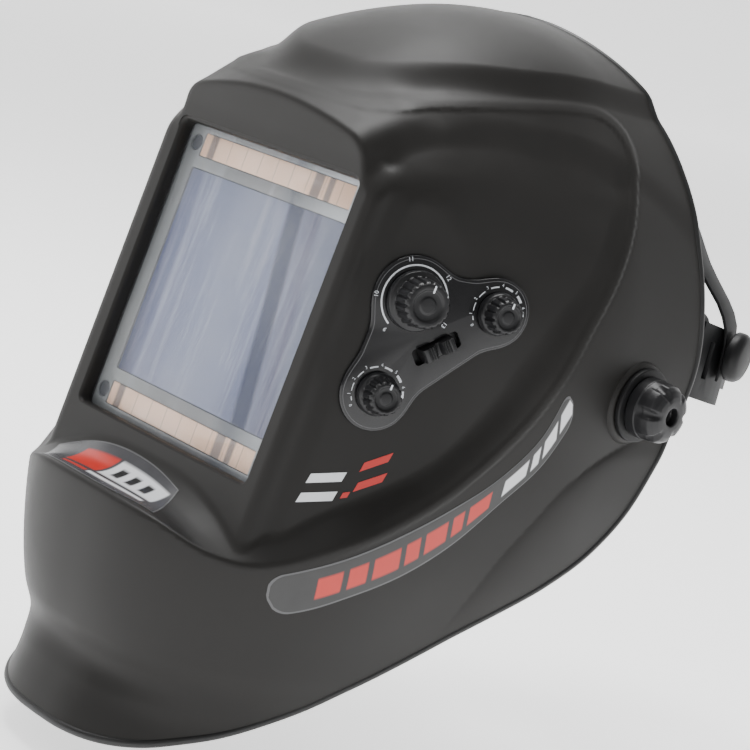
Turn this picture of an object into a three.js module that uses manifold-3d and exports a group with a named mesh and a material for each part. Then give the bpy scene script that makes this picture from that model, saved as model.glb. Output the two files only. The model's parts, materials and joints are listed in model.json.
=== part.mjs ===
// Auto-darkening welding helmet: a moulded shell on an adjustable headgear.
//
// Millimetres, +Z up. The origin is the middle of the flip pivot's axis, +X is the wearer's
// left (the side with the shade controls) and -Y is the front, with the helmet as worn, shut.
import * as THREE from 'three';
import { mergeVertices } from 'three/addons/utils/BufferGeometryUtils.js';
import Module from 'manifold-3d';

const wasm = await Module();
wasm.setup();

// ------------------------------------------------------------------ driving dimensions

const GAP = 0.3;                          // between pieces that touch
const WALL = 3.0;                         // shell thickness

// Shell: greatest half-width and forward reach by height, and crown height.
const CROWN_HEIGHT = 141;
const AXIS_BACK = -10;                    // where the plan starts to close towards the front
const HALF_WIDTH = [[-200, 82], [-182, 80], [-163, 79], [-145, 87], [-119, 96], [-104, 101],
  [-86, 106], [-60, 110], [-20, 113], [0, 114], [40, 114]];
const REACH = [[-200, 185], [-182, 183], [-170, 180], [-158, 176], [-148, 173], [-134, 178],
  [-100, 183], [-80, 183], [-50, 177], [0, 167], [40, 165]];

// Recessed front and side area, in the side view: rear limit (z, y), top and bottom (y, z).
const RECESS_REAR = [[-95, -166], [-82, -151], [-73, -137], [-62, -119], [-49, -100], [-32, -81],
  [-13, -65], [8, -53], [31, -42], [48, -32], [69, -21], [84, -15], [110, -8]];
const RECESS_TOP = [[-130, 95], [-113, 100], [-90, 105], [-62, 109], [-38, 112], [-10, 113]];
const RECESS_BOTTOM = [[-200, -76], [-190, -77], [-177, -84], [-165, -86], [-150, -86], [0, -86]];
const SIDE_FOLD = [[-130, -70], [-94, -61], [-73, -53], [-56, -42], [-39, -29], [-26, -12],
  [-17, 6], [0, 40]];

// Side view (y, z) of the space that the shell's rim bounds.
const RIM = [[-215, -176], [-190, -176], [-173, -173], [-159, -169], [-145, -165], [-130, -159],
  [-115, -151], [-101, -141], [-86, -131], [-70, -120], [-55, -109], [-38, -97], [-20, -85],
  [-1, -71], [14, -53], [25, -28], [33, -4], [37, 21], [35, 47], [31, 72], [27, 95], [22, 116],
  [14, 132], [5, 142], [-7, 152], [-16, 170], [-215, 170]];

// Window: its own frame has x across, y going back from the bezel face and z up the slope.
const TILT = THREE.MathUtils.degToRad(10);
const WINDOW_Y = -149.3;
const WINDOW_Z = 6;
const OPENING = [111, 129];
const BEZEL_HALF_WIDTH = 66;
const BEZEL_TOP = 72;
const LENS_DEPTH = 5.5;                   // bezel face to the back of its rim
const CARTRIDGE = [113.4, 132.4, 10];
const VIEW = [98, 93];

// Side panel that carries the controls, and the controls on it (back, up) from the shade dial.
const PANEL_START = [71, 9];
const PANEL_SLOPE = 0.46;
const SHADE_AT = [79.7, 28, 28];          // in the window's frame
const SENSITIVITY_AT = [-1, -40];
const DELAY_AT = [36, 6.7];
const SWITCH_AT = [16.5, -15];
const SWITCH_LEAN = THREE.MathUtils.degToRad(43);

// Headgear: the band's plan is a stretched oval that slopes down to the back.
const BAND_HALF_WIDTH = 80;
const BAND_MIDDLE = 35;
const BAND_FRONT = 100;
const BAND_REAR = 102;
const BAND_HEIGHT = 28;
const BAND_THICK = 1.8;
const BAND_LEVEL = 30;
const BAND_FALL = 0.17;
const HUB_AT = [86.1, 103.2, 17.4];       // of the buttons that hold the rear crown strap
const HUB_TURN = 1.32;                    // from straight back to the buttons' axis

// Pivot stack, measured along X from the middle of the helmet.
const ARM_X = 86.2;
const ARM_THICK = 3;
const DEPTH_TRAVEL = 10;
const HUB_X = 90;
const BOSS_X = 115.5;
const FLANGE_X = 118.3;
const KNOB_X = 134;

// Ratchet at the back of the head.
const RATCHET_Y = BAND_MIDDLE + BAND_REAR;
const RATCHET_Z = BAND_LEVEL - BAND_FALL * RATCHET_Y;
const PINION_PITCH = 6.4;
const PINION_TEETH = 12;

// ------------------------------------------------------------------ materials

const plastic = (colour, roughness = 0.55) =>
  new THREE.MeshStandardMaterial({ color: colour, roughness, metalness: 0 });
const metal = (colour, roughness = 0.35) =>
  new THREE.MeshStandardMaterial({ color: colour, roughness, metalness: 1 });

const SHELL_BLACK = plastic(0x2a2927, 0.6);
const TRIM_BLACK = plastic(0x1c1c1d, 0.45);
const GLOSS_BLACK = plastic(0x141416, 0.2);
const BAND_GREY = plastic(0x242527, 0.5);
const PALE_GREY = plastic(0x9b9ca0, 0.6);
const RUBBER = plastic(0x151515, 0.9);
const FABRIC = plastic(0x35363a, 0.95);
const SOLAR_COPPER = plastic(0xb98f74, 0.35);
const SENSOR_DARK = plastic(0x101218, 0.15);
const LENS_CLEAR = plastic(0xdfe6ee, 0.05);
const FILTER_BLUE = plastic(0x5b6390, 0.1);
const STEEL = metal(0xb4b6b9);
const SPRING_STEEL = metal(0x8d9094, 0.3);

// ------------------------------------------------------------------ small mathematics

const clamp = THREE.MathUtils.clamp;

function smoothMax(a, b, k) {
  const h = clamp(0.5 + 0.5 * (a - b) / k, 0, 1);
  return b + (a - b) * h + k * h * (1 - h);
}

const smoothMin = (a, b, k) => -smoothMax(-a, -b, k);

function fade(from, to, value) {
  const h = clamp((value - from) / (to - from), 0, 1);
  return h * h * (3 - 2 * h);
}

// A smooth curve through points [t, value], with each point's slope from its neighbours.
function smoothCurve(points) {
  const last = points.length - 1;
  const slope = points.map(([t, v], i) => {
    if (i === 0) return (points[1][1] - v) / (points[1][0] - t);
    if (i === last) return (v - points[i - 1][1]) / (t - points[i - 1][0]);
    const back = t - points[i - 1][0];
    const ahead = points[i + 1][0] - t;
    const rise = back * back * points[i + 1][1] + (ahead * ahead - back * back) * v
      - ahead * ahead * points[i - 1][1];
    return rise / (back * ahead * (back + ahead));
  });
  return (at) => {
    const t = clamp(at, points[0][0], points[last][0]);
    let i = 0;
    while (i < last - 1 && t >= points[i + 1][0]) i += 1;
    const [t0, v0] = points[i];
    const [t1, v1] = points[i + 1];
    const h = t1 - t0;
    const s = (t - t0) / h;
    return v0 * (1 + 2 * s) * (1 - s) ** 2 + slope[i] * h * s * (1 - s) ** 2
      + v1 * s * s * (3 - 2 * s) + slope[i + 1] * h * s * s * (s - 1);
  };
}

const widthAt = smoothCurve(HALF_WIDTH);
const reachAt = smoothCurve(REACH);
const recessRear = smoothCurve(RECESS_REAR);
const recessTop = smoothCurve(RECESS_TOP);
const recessBottom = smoothCurve(RECESS_BOTTOM);
const foldAt = smoothCurve(SIDE_FOLD);

// ------------------------------------------------------------------ the shell's surface

// Depth behind the bezel face and height along it.
function inWindow(y, z) {
  const dy = y - WINDOW_Y;
  const dz = z - WINDOW_Z;
  return [dy * Math.cos(TILT) - dz * Math.sin(TILT), dy * Math.sin(TILT) + dz * Math.cos(TILT)];
}

// Each surface function is negative inside and about a distance in millimetres.
function plainHull(x, y, z) {
  const across = Math.abs(x);
  const ahead = Math.max(AXIS_BACK - y, 0);
  const up = Math.max(z, 0);
  const n = 2.1 + 0.5 * fade(-50, -140, y);
  const profile = Math.hypot(ahead / reachAt(z), up / CROWN_HEIGHT);
  const f = ((across / widthAt(z)) ** n + profile ** n) ** (1 / n);
  const radius = Math.hypot(across, ahead, up) + 1e-6;
  return (f - 1) * radius / Math.max(f, 0.2);
}

function hull(x, y, z) {
  const q = ((Math.abs(x) / 66) ** 2.6 + (Math.max(40 - y, 0) / 165) ** 2.6) ** (1 / 2.6);
  const crownBulge = 5.5 * fade(1.05, 0.95, q) * fade(60, 90, z);
  const behind = Math.max((y - foldAt(z)) * 0.75, 0);
  const lowerFold = 2.4 * behind / (behind + 7) * fade(-8, -26, z) * fade(-118, -85, z);
  return plainHull(x, y, z) - crownBulge - lowerFold;
}

// How far a point lies inside the recessed area, in the side view.
function insideRecess(y, z) {
  const lean = (recessRear(z + 1) - recessRear(z - 1)) / 2;
  const rear = (recessRear(z) - y) / Math.hypot(1, lean);
  return smoothMin(smoothMin(rear, recessTop(y) - z, 22), z - recessBottom(y), 8);
}

function sidePanel(x, y, z) {
  const [back] = inWindow(y, z);
  const [start, startBack] = PANEL_START;
  const out = Math.abs(x) - (start + PANEL_SLOPE * (back - startBack));
  return smoothMax(out / Math.hypot(1, PANEL_SLOPE), startBack - back, 6);
}

function bezel(x, y, z) {
  const [back, up] = inWindow(y, z);
  const flare = 0.25 * Math.max(back, 0);
  const sides = smoothMax(Math.abs(x) - BEZEL_HALF_WIDTH - flare, up - BEZEL_TOP - flare, 10);
  return smoothMax(sides, -back, 5);
}

function visor(x, y, z) {
  const [back, up] = inWindow(y, z);
  const top = (z - (93 - 8 * (x / 50) ** 2 + 0.62 * (y + 143))) * 0.85;
  const side = Math.abs(x) - 57 - 0.25 * Math.max(back, 0);
  const nose = plainHull(x, y, z) - 13 * fade(-104, -136, y);
  const face = -(back + 0.45 * (up - 66)) * 0.91;
  return smoothMax(smoothMax(smoothMax(top, side, 10), nose, 4), face, 2.5);
}

function surface(x, y, z) {
  const h = hull(x, y, z);
  const depth = 3.0 * fade(-124, -95, y);
  const blend = 4 + 10 * fade(-115, -70, y);
  const slope = 0.65 + 1.6 * fade(-60, -125, y);
  const floor = smoothMin(smoothMax(sidePanel(x, y, z), h + depth, blend), bezel(x, y, z), 3);
  const bank = (h + slope * insideRecess(y, z)) / Math.hypot(1, slope);
  const body = smoothMax(h, smoothMin(floor, bank, 2), 1.5);
  return smoothMin(body, visor(x, y, z), 4);
}

// The same surface closed off below and behind, so that it bounds a ball.
const closedSurface = (x, y, z) => Math.max(surface(x, y, z), -190 - z, y - 55);

// ------------------------------------------------------------------ solids

function toSolid(source) {
  const plain = source.clone();
  plain.deleteAttribute('normal');
  plain.deleteAttribute('uv');
  const merged = mergeVertices(plain, 1e-4);
  return new wasm.Manifold(new wasm.Mesh({
    numProp: 3,
    vertProperties: new Float32Array(merged.attributes.position.array),
    triVerts: new Uint32Array(merged.index.array),
  }));
}

function toGeometry(solid) {
  const mesh = solid.getMesh();
  const geometry = new THREE.BufferGeometry();
  geometry.setAttribute('position', new THREE.BufferAttribute(mesh.vertProperties, 3));
  geometry.setIndex(new THREE.BufferAttribute(mesh.triVerts, 1));
  geometry.computeVertexNormals();
  return geometry;
}

const cut = (body, ...tools) =>
  toGeometry(tools.reduce((solid, tool) => solid.subtract(toSolid(tool)), toSolid(body)));
const join = (...bodies) =>
  toGeometry(bodies.slice(1).reduce((solid, body) => solid.add(toSolid(body)), toSolid(bodies[0])));

// A box between two corners.
function block(low, high) {
  const size = high.map((value, i) => value - low[i]);
  const box = new THREE.BoxGeometry(...size);
  box.translate(...low.map((value, i) => value + size[i] / 2));
  return box;
}

// A solid turned about the X axis from a profile of [x, radius] that starts and ends on it.
function turned(profile, sides = 24) {
  const lathe = new THREE.LatheGeometry(profile.map(([x, r]) => new THREE.Vector2(r, x)), sides);
  lathe.rotateZ(-Math.PI / 2);
  return lathe;
}

const rod = (from, to, radius, sides = 24) =>
  turned([[from, 0], [from, radius], [to, radius], [to, 0]], sides);
const ring = (from, to, inner, outer, sides = 24) =>
  turned([[from, inner], [from, outer], [to, outer], [to, inner], [from, inner]], sides);

// A flat piece: an outline of [y, z] points swept along X.
function slab(outline, from, to) {
  const shape = new THREE.Shape(outline.map(([y, z]) => new THREE.Vector2(y, z)));
  const plate = new THREE.ExtrudeGeometry(shape, { depth: to - from, bevelEnabled: false });
  plate.rotateX(Math.PI / 2);
  plate.rotateZ(Math.PI / 2);
  plate.translate(from, 0, 0);
  return plate;
}

// A rectangle's outline with quarter-round corners.
function roundedOutline(width, height, radius, middle = [0, 0], steps = 4) {
  const points = [];
  const corners = [[1, 1, 0], [-1, 1, 1], [-1, -1, 2], [1, -1, 3]];
  for (const [sx, sy, quarter] of corners) {
    for (let i = 0; i <= steps; i += 1) {
      const angle = (quarter + i / steps) * Math.PI / 2;
      points.push([
        middle[0] + sx * (width / 2 - radius) + radius * Math.cos(angle),
        middle[1] + sy * (height / 2 - radius) + radius * Math.sin(angle),
      ]);
    }
  }
  return points;
}

// A plate that faces the window: [x, z] outline swept from one depth to another.
function facePlate(width, height, from, to, radius = 2, middle = [0, 0]) {
  const shape = new THREE.Shape(
    roundedOutline(width, height, radius, middle).map(([x, z]) => new THREE.Vector2(x, z)));
  const plate = new THREE.ExtrudeGeometry(shape, { depth: to - from, bevelEnabled: false });
  plate.rotateX(Math.PI / 2);
  plate.translate(0, to, 0);
  return plate;
}

// A closed body through equal rings of points, with a flat end at each end of the run.
function loft(rings) {
  const count = rings[0].length;
  const index = [];
  for (let i = 0; i < rings.length - 1; i += 1) {
    for (let j = 0; j < count; j += 1) {
      const a = i * count + j;
      const b = i * count + (j + 1) % count;
      index.push(a, b, a + count, b, b + count, a + count);
    }
  }
  for (let j = 1; j < count - 1; j += 1) {
    const end = (rings.length - 1) * count;
    index.push(0, j + 1, j, end, end + j, end + j + 1);
  }
  const geometry = new THREE.BufferGeometry();
  geometry.setAttribute('position', new THREE.Float32BufferAttribute(rings.flat(2), 3));
  geometry.setIndex(index);
  return toSolid(geometry).volume() < 0 ? flipped(geometry) : geometry;
}

function flipped(geometry) {
  const index = Array.from(geometry.index.array);
  for (let i = 0; i < index.length; i += 3) {
    [index[i + 1], index[i + 2]] = [index[i + 2], index[i + 1]];
  }
  geometry.setIndex(index);
  return geometry;
}

// ------------------------------------------------------------------ assembly helpers

const helmet = new THREE.Group();

function add(parent, name, geometry, material) {
  const mesh = new THREE.Mesh(geometry, material.clone());
  mesh.name = name;
  parent.add(mesh);
  return mesh;
}

const windowFrame = new THREE.Group();
windowFrame.position.set(0, WINDOW_Y, WINDOW_Z);
windowFrame.rotation.x = -TILT;
helmet.add(windowFrame);

const panelFrame = new THREE.Group();
panelFrame.position.set(...SHADE_AT);
panelFrame.rotation.z = -Math.atan(PANEL_SLOPE);
windowFrame.add(panelFrame);
helmet.updateMatrixWorld(true);

const fromWindow = (geometry) => geometry.clone().applyMatrix4(windowFrame.matrixWorld);
const fromPanel = (geometry) => geometry.clone().applyMatrix4(panelFrame.matrixWorld);

const placed = (geometry, y, z, turn = 0) => geometry.clone().rotateX(turn).translate(0, y, z);

// ------------------------------------------------------------------ shell

const BALL_MIDDLE = [0, -80, -90];
const BALL_COLUMNS = 38;
const BALL_ROWS = [84, 78, 73, 69, 65, 59, 51, 43, 35, 28, 22, 18, 15, 12, 9.5, 7, 4.5, 1, -4, -10,
  -16, -22, -28, -33, -38, -43, -50, -60, -75];

// The closed surface moved in by an offset, as a ball of rows about an upright axis.
function ball(offset) {
  const point = (row, column) => {
    const rise = THREE.MathUtils.degToRad(row);
    const turn = (column + 0.5) / BALL_COLUMNS * 2 * Math.PI;
    const flat = Math.cos(rise);
    const d = [flat * Math.sin(turn), -flat * Math.cos(turn), Math.sin(rise)];
    const value = (r) => closedSurface(...BALL_MIDDLE.map((c, i) => c + r * d[i])) + offset;
    let out = 30;
    while (value(out) < 0) out += 3;
    let inside = out - 3;
    for (let i = 0; i < 24; i += 1) {
      const middle = (inside + out) / 2;
      if (value(middle) < 0) inside = middle;
      else out = middle;
    }
    return BALL_MIDDLE.map((c, i) => c + inside * d[i]);
  };
  const positions = [point(90, 0)];
  for (const row of BALL_ROWS) {
    for (let j = 0; j < BALL_COLUMNS; j += 1) positions.push(point(row, j));
  }
  positions.push(point(-90, 0));
  const last = BALL_ROWS.length - 1;
  const at = (i, j) => 1 + i * BALL_COLUMNS + j % BALL_COLUMNS;
  const index = [];
  for (let j = 0; j < BALL_COLUMNS; j += 1) {
    index.push(0, at(0, j + 1), at(0, j));
    index.push(positions.length - 1, at(last, j), at(last, j + 1));
    for (let i = 0; i < last; i += 1) {
      if (j < BALL_COLUMNS / 2) {
        index.push(at(i, j), at(i, j + 1), at(i + 1, j));
        index.push(at(i, j + 1), at(i + 1, j + 1), at(i + 1, j));
      } else {
        index.push(at(i, j), at(i, j + 1), at(i + 1, j + 1));
        index.push(at(i, j), at(i + 1, j + 1), at(i + 1, j));
      }
    }
  }
  const geometry = new THREE.BufferGeometry();
  geometry.setAttribute('position', new THREE.Float32BufferAttribute(positions.flat(), 3));
  geometry.setIndex(index);
  return toSolid(geometry).volume() < 0 ? flipped(geometry) : geometry;
}

const switchOutline = (length, width) =>
  roundedOutline(length, width, width / 2.5).map(([y, z]) => [
    SWITCH_AT[0] + y * Math.cos(SWITCH_LEAN) - z * Math.sin(SWITCH_LEAN),
    SWITCH_AT[1] + y * Math.sin(SWITCH_LEAN) + z * Math.cos(SWITCH_LEAN),
  ]);

function makeShell() {
  const rimSpace = slab(RIM, -150, 150);
  let solid = toSolid(ball(0)).subtract(toSolid(ball(WALL))).intersect(toSolid(rimSpace));
  const lensRim = facePlate(OPENING[0] + 10, OPENING[1] + 10, 2, LENS_DEPTH, 5);
  const boss = [join(rod(109, BOSS_X, 17, 28)), join(rod(-BOSS_X, -109, 17, 28))];
  const stops = [1, -1].map((side) => {
    const [low, high] = side > 0 ? [99, 112.5] : [-112.5, -99];
    return block([low, -27, -2.4], [high, -19, 5]);
  });
  solid = solid.add(toSolid(fromWindow(lensRim)));
  for (const piece of [...boss, ...stops]) solid = solid.add(toSolid(piece));
  const opening = facePlate(OPENING[0], OPENING[1], -25, 9, 3);
  solid = solid.subtract(toSolid(fromWindow(opening)));
  solid = solid.subtract(toSolid(rod(-125, 125, 5)));
  const holes = [[0, 0], SENSITIVITY_AT, DELAY_AT].map(([y, z]) => placed(rod(-12, 6, 4.6), y, z));
  holes.push(slab(switchOutline(22, 8), -12, 6));
  for (const hole of holes) solid = solid.subtract(toSolid(fromPanel(hole)));
  const pieces = solid.decompose().sort((a, b) => b.volume() - a.volume());
  return toGeometry(pieces[0]);
}

add(helmet, 'shell', makeShell(), SHELL_BLACK);

// ------------------------------------------------------------------ lens and filter cartridge

const LENS_FRONT = LENS_DEPTH + GAP + 0.8 + GAP;
const CARTRIDGE_FRONT = LENS_FRONT + 1 + 0.4;
const CARTRIDGE_BACK = CARTRIDGE_FRONT + CARTRIDGE[2];
const CARTRIDGE_SPLIT = CARTRIDGE_FRONT + 5;
const SOLAR_AT = 57;
const SENSOR_AT = [52, 57];

function makeCartridge() {
  const [width, height] = CARTRIDGE;
  const gasket = cut(facePlate(width - 0.8, height - 2.2, LENS_DEPTH + GAP, LENS_DEPTH + GAP + 0.8, 4),
    facePlate(111.4, 129.4, 0, 20, 3));
  add(windowFrame, 'lens_gasket', gasket, RUBBER);
  add(windowFrame, 'front_cover_lens', facePlate(width, height, LENS_FRONT, LENS_FRONT + 1, 3),
    LENS_CLEAR);

  const sensors = [[1, 1], [-1, 1], [1, -1], [-1, -1]].map(([sx, sz], i) => {
    const post = rod(CARTRIDGE_FRONT + GAP, CARTRIDGE_FRONT + 3, 3.4, 16);
    post.rotateZ(Math.PI / 2);
    return [`arc_sensor_${i + 1}`, post.translate(sx * SENSOR_AT[0], 0, sz * SENSOR_AT[1])];
  });
  const sensorHoles = [[1, 1], [-1, 1], [1, -1], [-1, -1]].map(([sx, sz]) => {
    const hole = rod(CARTRIDGE_FRONT - 1, CARTRIDGE_FRONT + 3.4, 3.8, 16);
    hole.rotateZ(Math.PI / 2);
    return hole.translate(sx * SENSOR_AT[0], 0, sz * SENSOR_AT[1]);
  });
  const solarPocket = (sign) => facePlate(95.6, 10.6, CARTRIDGE_FRONT - 1, CARTRIDGE_FRONT + 2.4,
    0.6, [0, sign * SOLAR_AT]);
  const front = cut(facePlate(width, height, CARTRIDGE_FRONT, CARTRIDGE_SPLIT, 3),
    facePlate(VIEW[0], VIEW[1], 0, 30, 1), solarPocket(1), solarPocket(-1), ...sensorHoles);
  add(windowFrame, 'cartridge_front', front, PALE_GREY);
  for (const [name, geometry] of sensors) add(windowFrame, name, geometry, SENSOR_DARK);
  for (const [name, sign] of [['solar_cell_upper', 1], ['solar_cell_lower', -1]]) {
    add(windowFrame, name, facePlate(95, 10, CARTRIDGE_FRONT + GAP, CARTRIDGE_FRONT + 2, 0.5,
      [0, sign * SOLAR_AT]), SOLAR_COPPER);
  }

  const back = cut(facePlate(width, height, CARTRIDGE_SPLIT + GAP, CARTRIDGE_BACK, 3),
    facePlate(VIEW[0], VIEW[1], 0, CARTRIDGE_BACK - 2, 1),
    facePlate(VIEW[0] - 6, VIEW[1] - 6, 0, 40, 1),
    facePlate(102, 12, 0, CARTRIDGE_SPLIT + 3, 1, [0, 56.5]));
  add(windowFrame, 'cartridge_back', back, TRIM_BLACK);

  const layers = [['uv_filter_glass', 0.5, 1.6], ['shutter_glass', 2.4, 5.1]];
  for (const [name, depth, thick] of layers) {
    const from = CARTRIDGE_FRONT + depth;
    add(windowFrame, name, facePlate(VIEW[0] - 0.6, VIEW[1] - 0.6, from, from + thick, 0.8),
      FILTER_BLUE);
  }
}

makeCartridge();

const FRAME_OUTER = [118.8, 137];
const FRAME_INNER = [114.4, 133.4];
const RETAINER_FRONT = CARTRIDGE_BACK + 1.6;
const RETAINER_BACK = RETAINER_FRONT + 2;
const LATCH_AT = [63.6, -58];

function makeRetainer() {
  const tube = cut(facePlate(...FRAME_OUTER, LENS_DEPTH + 3.2, RETAINER_FRONT - GAP, 5),
    facePlate(...FRAME_INNER, 0, 40, 4));
  const ears = [1, -1].map((side) => {
    const [low, high] = side > 0 ? [59, 66.5] : [-66.5, -59];
    return block([low, RETAINER_FRONT - 6, LATCH_AT[1] - 4], [high, RETAINER_BACK, LATCH_AT[1] + 4]);
  });
  const backSpace = block([-60, RETAINER_FRONT - GAP, -80], [60, 40, 80]);
  add(windowFrame, 'cartridge_frame', cut(join(tube, ...ears), backSpace,
    facePlate(...FRAME_INNER, 0, 40, 4)), TRIM_BLACK);
  add(windowFrame, 'inner_cover_lens',
    facePlate(104, 104, CARTRIDGE_BACK + GAP, CARTRIDGE_BACK + 1.3, 2), LENS_CLEAR);
  add(windowFrame, 'retaining_frame', cut(facePlate(119.4, 137, RETAINER_FRONT, RETAINER_BACK, 4),
    facePlate(98, 94, 0, 60, 3)), TRIM_BLACK);
  for (const [name, side] of [['latch_left', 1], ['latch_right', -1]]) {
    const lever = slab(roundedOutline(14, 6.4, 3, [3.8, 0], 3), 0, 2);
    lever.rotateZ(Math.PI / 2);
    lever.rotateZ(side > 0 ? 0 : Math.PI);
    lever.translate(side * LATCH_AT[0], RETAINER_BACK + GAP + (side > 0 ? 0 : 2), LATCH_AT[1]);
    add(windowFrame, name, lever, BAND_GREY);
  }
}

makeRetainer();

// ------------------------------------------------------------------ controls on the side

const FASCIA_BACK = GAP;
const FASCIA_FRONT = 1.7;
const CASE_OUTER = -7;
const CASE_INNER = -17;
const CASE_LOW = [-10.5, -53];
const CASE_HIGH = [46, 17];

function makeFascia() {
  const discs = [[0, 0, 18], [...SENSITIVITY_AT, 15], [...DELAY_AT, 14]].map(([y, z, r]) =>
    placed(rod(FASCIA_BACK, FASCIA_FRONT, r, 28), y, z));
  const web = slab([[-17.2, -5], [-14.6, -14], [-14.2, -24], [-15.4, -34], [0, -45], [12.6, -46],
    [17, -38], [24, -27], [33, -14], [43, -5.4], [40, 10], [33, 20], [23, 17.4], [12, 16.6],
    [5, 17.3], [0, 0]], FASCIA_BACK, FASCIA_FRONT);
  const holes = [[0, 0], SENSITIVITY_AT, DELAY_AT].map(([y, z]) =>
    placed(rod(-1, 4, 3.8), y, z));
  return cut(join(web, ...discs), ...holes, slab(switchOutline(21, 7), -1, 4));
}

function makeKnob(skirt, cap, height) {
  const base = FASCIA_FRONT + GAP;
  const body = turned([[base, 0], [base, skirt], [base + 2.5, skirt - 0.4], [base + 4, cap + 0.8],
    [height - 1, cap], [height, cap - 1.2], [height, 0]], 20);
  return join(body, rod(-11, base + 1, 3, 16));
}

function makeControls() {
  add(panelFrame, 'control_fascia', makeFascia(), GLOSS_BLACK);
  const dials = [['shade', 0, 0, 12.5, 10, 14.5], ['sensitivity', ...SENSITIVITY_AT, 9, 7.5, 11.5],
    ['delay', ...DELAY_AT, 9, 7.5, 11.5]];
  for (const [name, y, z, skirt, cap, height] of dials) {
    add(panelFrame, `${name}_knob`, placed(makeKnob(skirt, cap, height), y, z), TRIM_BLACK);
    add(panelFrame, `${name}_potentiometer`, placed(cut(rod(-14.4, -8.8, 7, 20),
      rod(-11.6, 0, 3.3, 16)), y, z), STEEL);
  }
  const slider = slab(switchOutline(11, 5.6), FASCIA_FRONT + GAP, 5);
  const stem = slab(switchOutline(7, 4), -11, 3);
  add(panelFrame, 'mode_switch', join(slider, stem), TRIM_BLACK);

  const outer = block([CASE_INNER, ...CASE_LOW], [CASE_OUTER, ...CASE_HIGH]);
  const inner = block([CASE_INNER - 1, CASE_LOW[0] + 1.5, CASE_LOW[1] + 1.5],
    [CASE_OUTER - 1.5, CASE_HIGH[0] - 1.5, CASE_HIGH[1] - 1.5]);
  const shaftHoles = [[0, 0], SENSITIVITY_AT, DELAY_AT].map(([y, z]) =>
    placed(rod(-10, 0, 3.6), y, z));
  const trayHole = block([-15.5, 40, -49.5], [-8.9, 60, -20.5]);
  add(panelFrame, 'control_case', cut(outer, inner, ...shaftHoles,
    slab(switchOutline(16, 5), -10, 0), trayHole), TRIM_BLACK);
  add(panelFrame, 'control_case_cover', block([CASE_INNER - 1.5, CASE_LOW[0], CASE_LOW[1]],
    [CASE_INNER - GAP, CASE_HIGH[0], CASE_HIGH[1]]), TRIM_BLACK);
  const cell = placed(rod(-13.8, -9.8, 11.8, 28), 31, -35);
  const tray = cut(block([-15.2, 16, -49], [-9.2, 47.6, -21]),
    placed(rod(-14.1, 0, 12.2, 28), 31, -35));
  add(panelFrame, 'battery_tray', tray, BAND_GREY);
  add(panelFrame, 'battery_cell', cell, STEEL);
}

makeControls();

// The lead from the control case to the cartridge, clipped along the retaining frame's edge.
function makeLead() {
  const route = [[63.4, 40.8, 42.9], [60.5, 41, 43.5], [56, 38, 45.5], [53, 33, 48],
    [51.5, 28, 51], [51, 24.6, 53]].map((p) => new THREE.Vector3(...p));
  const section = new THREE.Shape();
  section.absarc(0, 0, 1.5, 0, 2 * Math.PI);
  return new THREE.ExtrudeGeometry(section, {
    extrudePath: new THREE.CatmullRomCurve3(route), steps: 12, curveSegments: 4,
    bevelEnabled: false,
  });
}

add(windowFrame, 'control_lead', makeLead(), RUBBER);

// ------------------------------------------------------------------ pivots

const mirrored = (geometry, side) => {
  if (side > 0) return geometry;
  return flipped(toGeometry(toSolid(geometry)).scale(-1, 1, 1));
};

function tensionKnob() {
  const body = turned([[FLANGE_X + GAP, 0], [FLANGE_X + GAP, 13], [FLANGE_X + 2.5, 13.5],
    [KNOB_X - 3, 12.6], [KNOB_X - 0.6, 10.8], [KNOB_X, 8.5], [KNOB_X, 0]], 24);
  const grips = [];
  for (let i = 0; i < 6; i += 1) {
    grips.push(placed(rod(FLANGE_X + 5, KNOB_X + 1, 3.2, 8), 15, 0).rotateX(i * Math.PI / 3));
  }
  return cut(body, ...grips, rod(100, KNOB_X - 4.5, 4.3), rod(110, KNOB_X + 1, 3.5, 16));
}

function angleStop() {
  const hub = ring(HUB_X, 104, 4.1, 14);
  const arm = block([98, -26, -9], [104, -9, -2.8]);
  return cut(join(hub, arm), rod(80, 110, 4.1));
}

function sideArm() {
  const outline = [[-25, -9], [-21, -13.5], [21, -13.5], [25, -9], [27, 8], [40, 12], [42, 16],
    [42, 38], [38, 42], [8, 42], [4, 38], [4, 18], [-2, 13.5], [-21, 13.5], [-25, 9]];
  const slot = block([ARM_X - 1, -10 - DEPTH_TRAVEL - GAP, -5],
    [ARM_X + ARM_THICK + 1, 10 + DEPTH_TRAVEL + GAP, 5]);
  return cut(slab(outline, ARM_X, ARM_X + ARM_THICK), slot);
}

function slideBlock() {
  const tongue = block([ARM_X + 0.2, -10, -4.7], [ARM_X + ARM_THICK + 0.6, 10, 4.7]);
  const plate = block([ARM_X + ARM_THICK + GAP, -13, -9], [HUB_X - GAP + 0.2, 13, 9]);
  return cut(join(tongue, plate), rod(80, 95, 4.1));
}

const PIVOT_PIECES = [
  ['side_arm', sideArm, BAND_GREY],
  ['pivot_stud', () => turned([[82.6, 0], [82.6, 8], [85.8, 8], [85.8, 3.8], [128.6, 3.8], [128.6, 0]]),
    STEEL],
  ['slide_block', slideBlock, BAND_GREY],
  ['angle_stop', angleStop, TRIM_BLACK],
  ['spring_washer', () => turned([[105, 4.3], [107.2, 10.5], [108.2, 10.5], [106, 4.3],
    [105, 4.3]]), SPRING_STEEL],
  ['pivot_flange', () => ring(BOSS_X + GAP, FLANGE_X, 5, 16.5, 32), TRIM_BLACK],
  ['tension_knob', tensionKnob, TRIM_BLACK],
];

for (const [side, word] of [[1, 'left'], [-1, 'right']]) {
  for (const [name, make, material] of PIVOT_PIECES) {
    add(helmet, `${name}_${word}`, mirrored(make(), side), material);
  }
}

// ------------------------------------------------------------------ headgear

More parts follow.
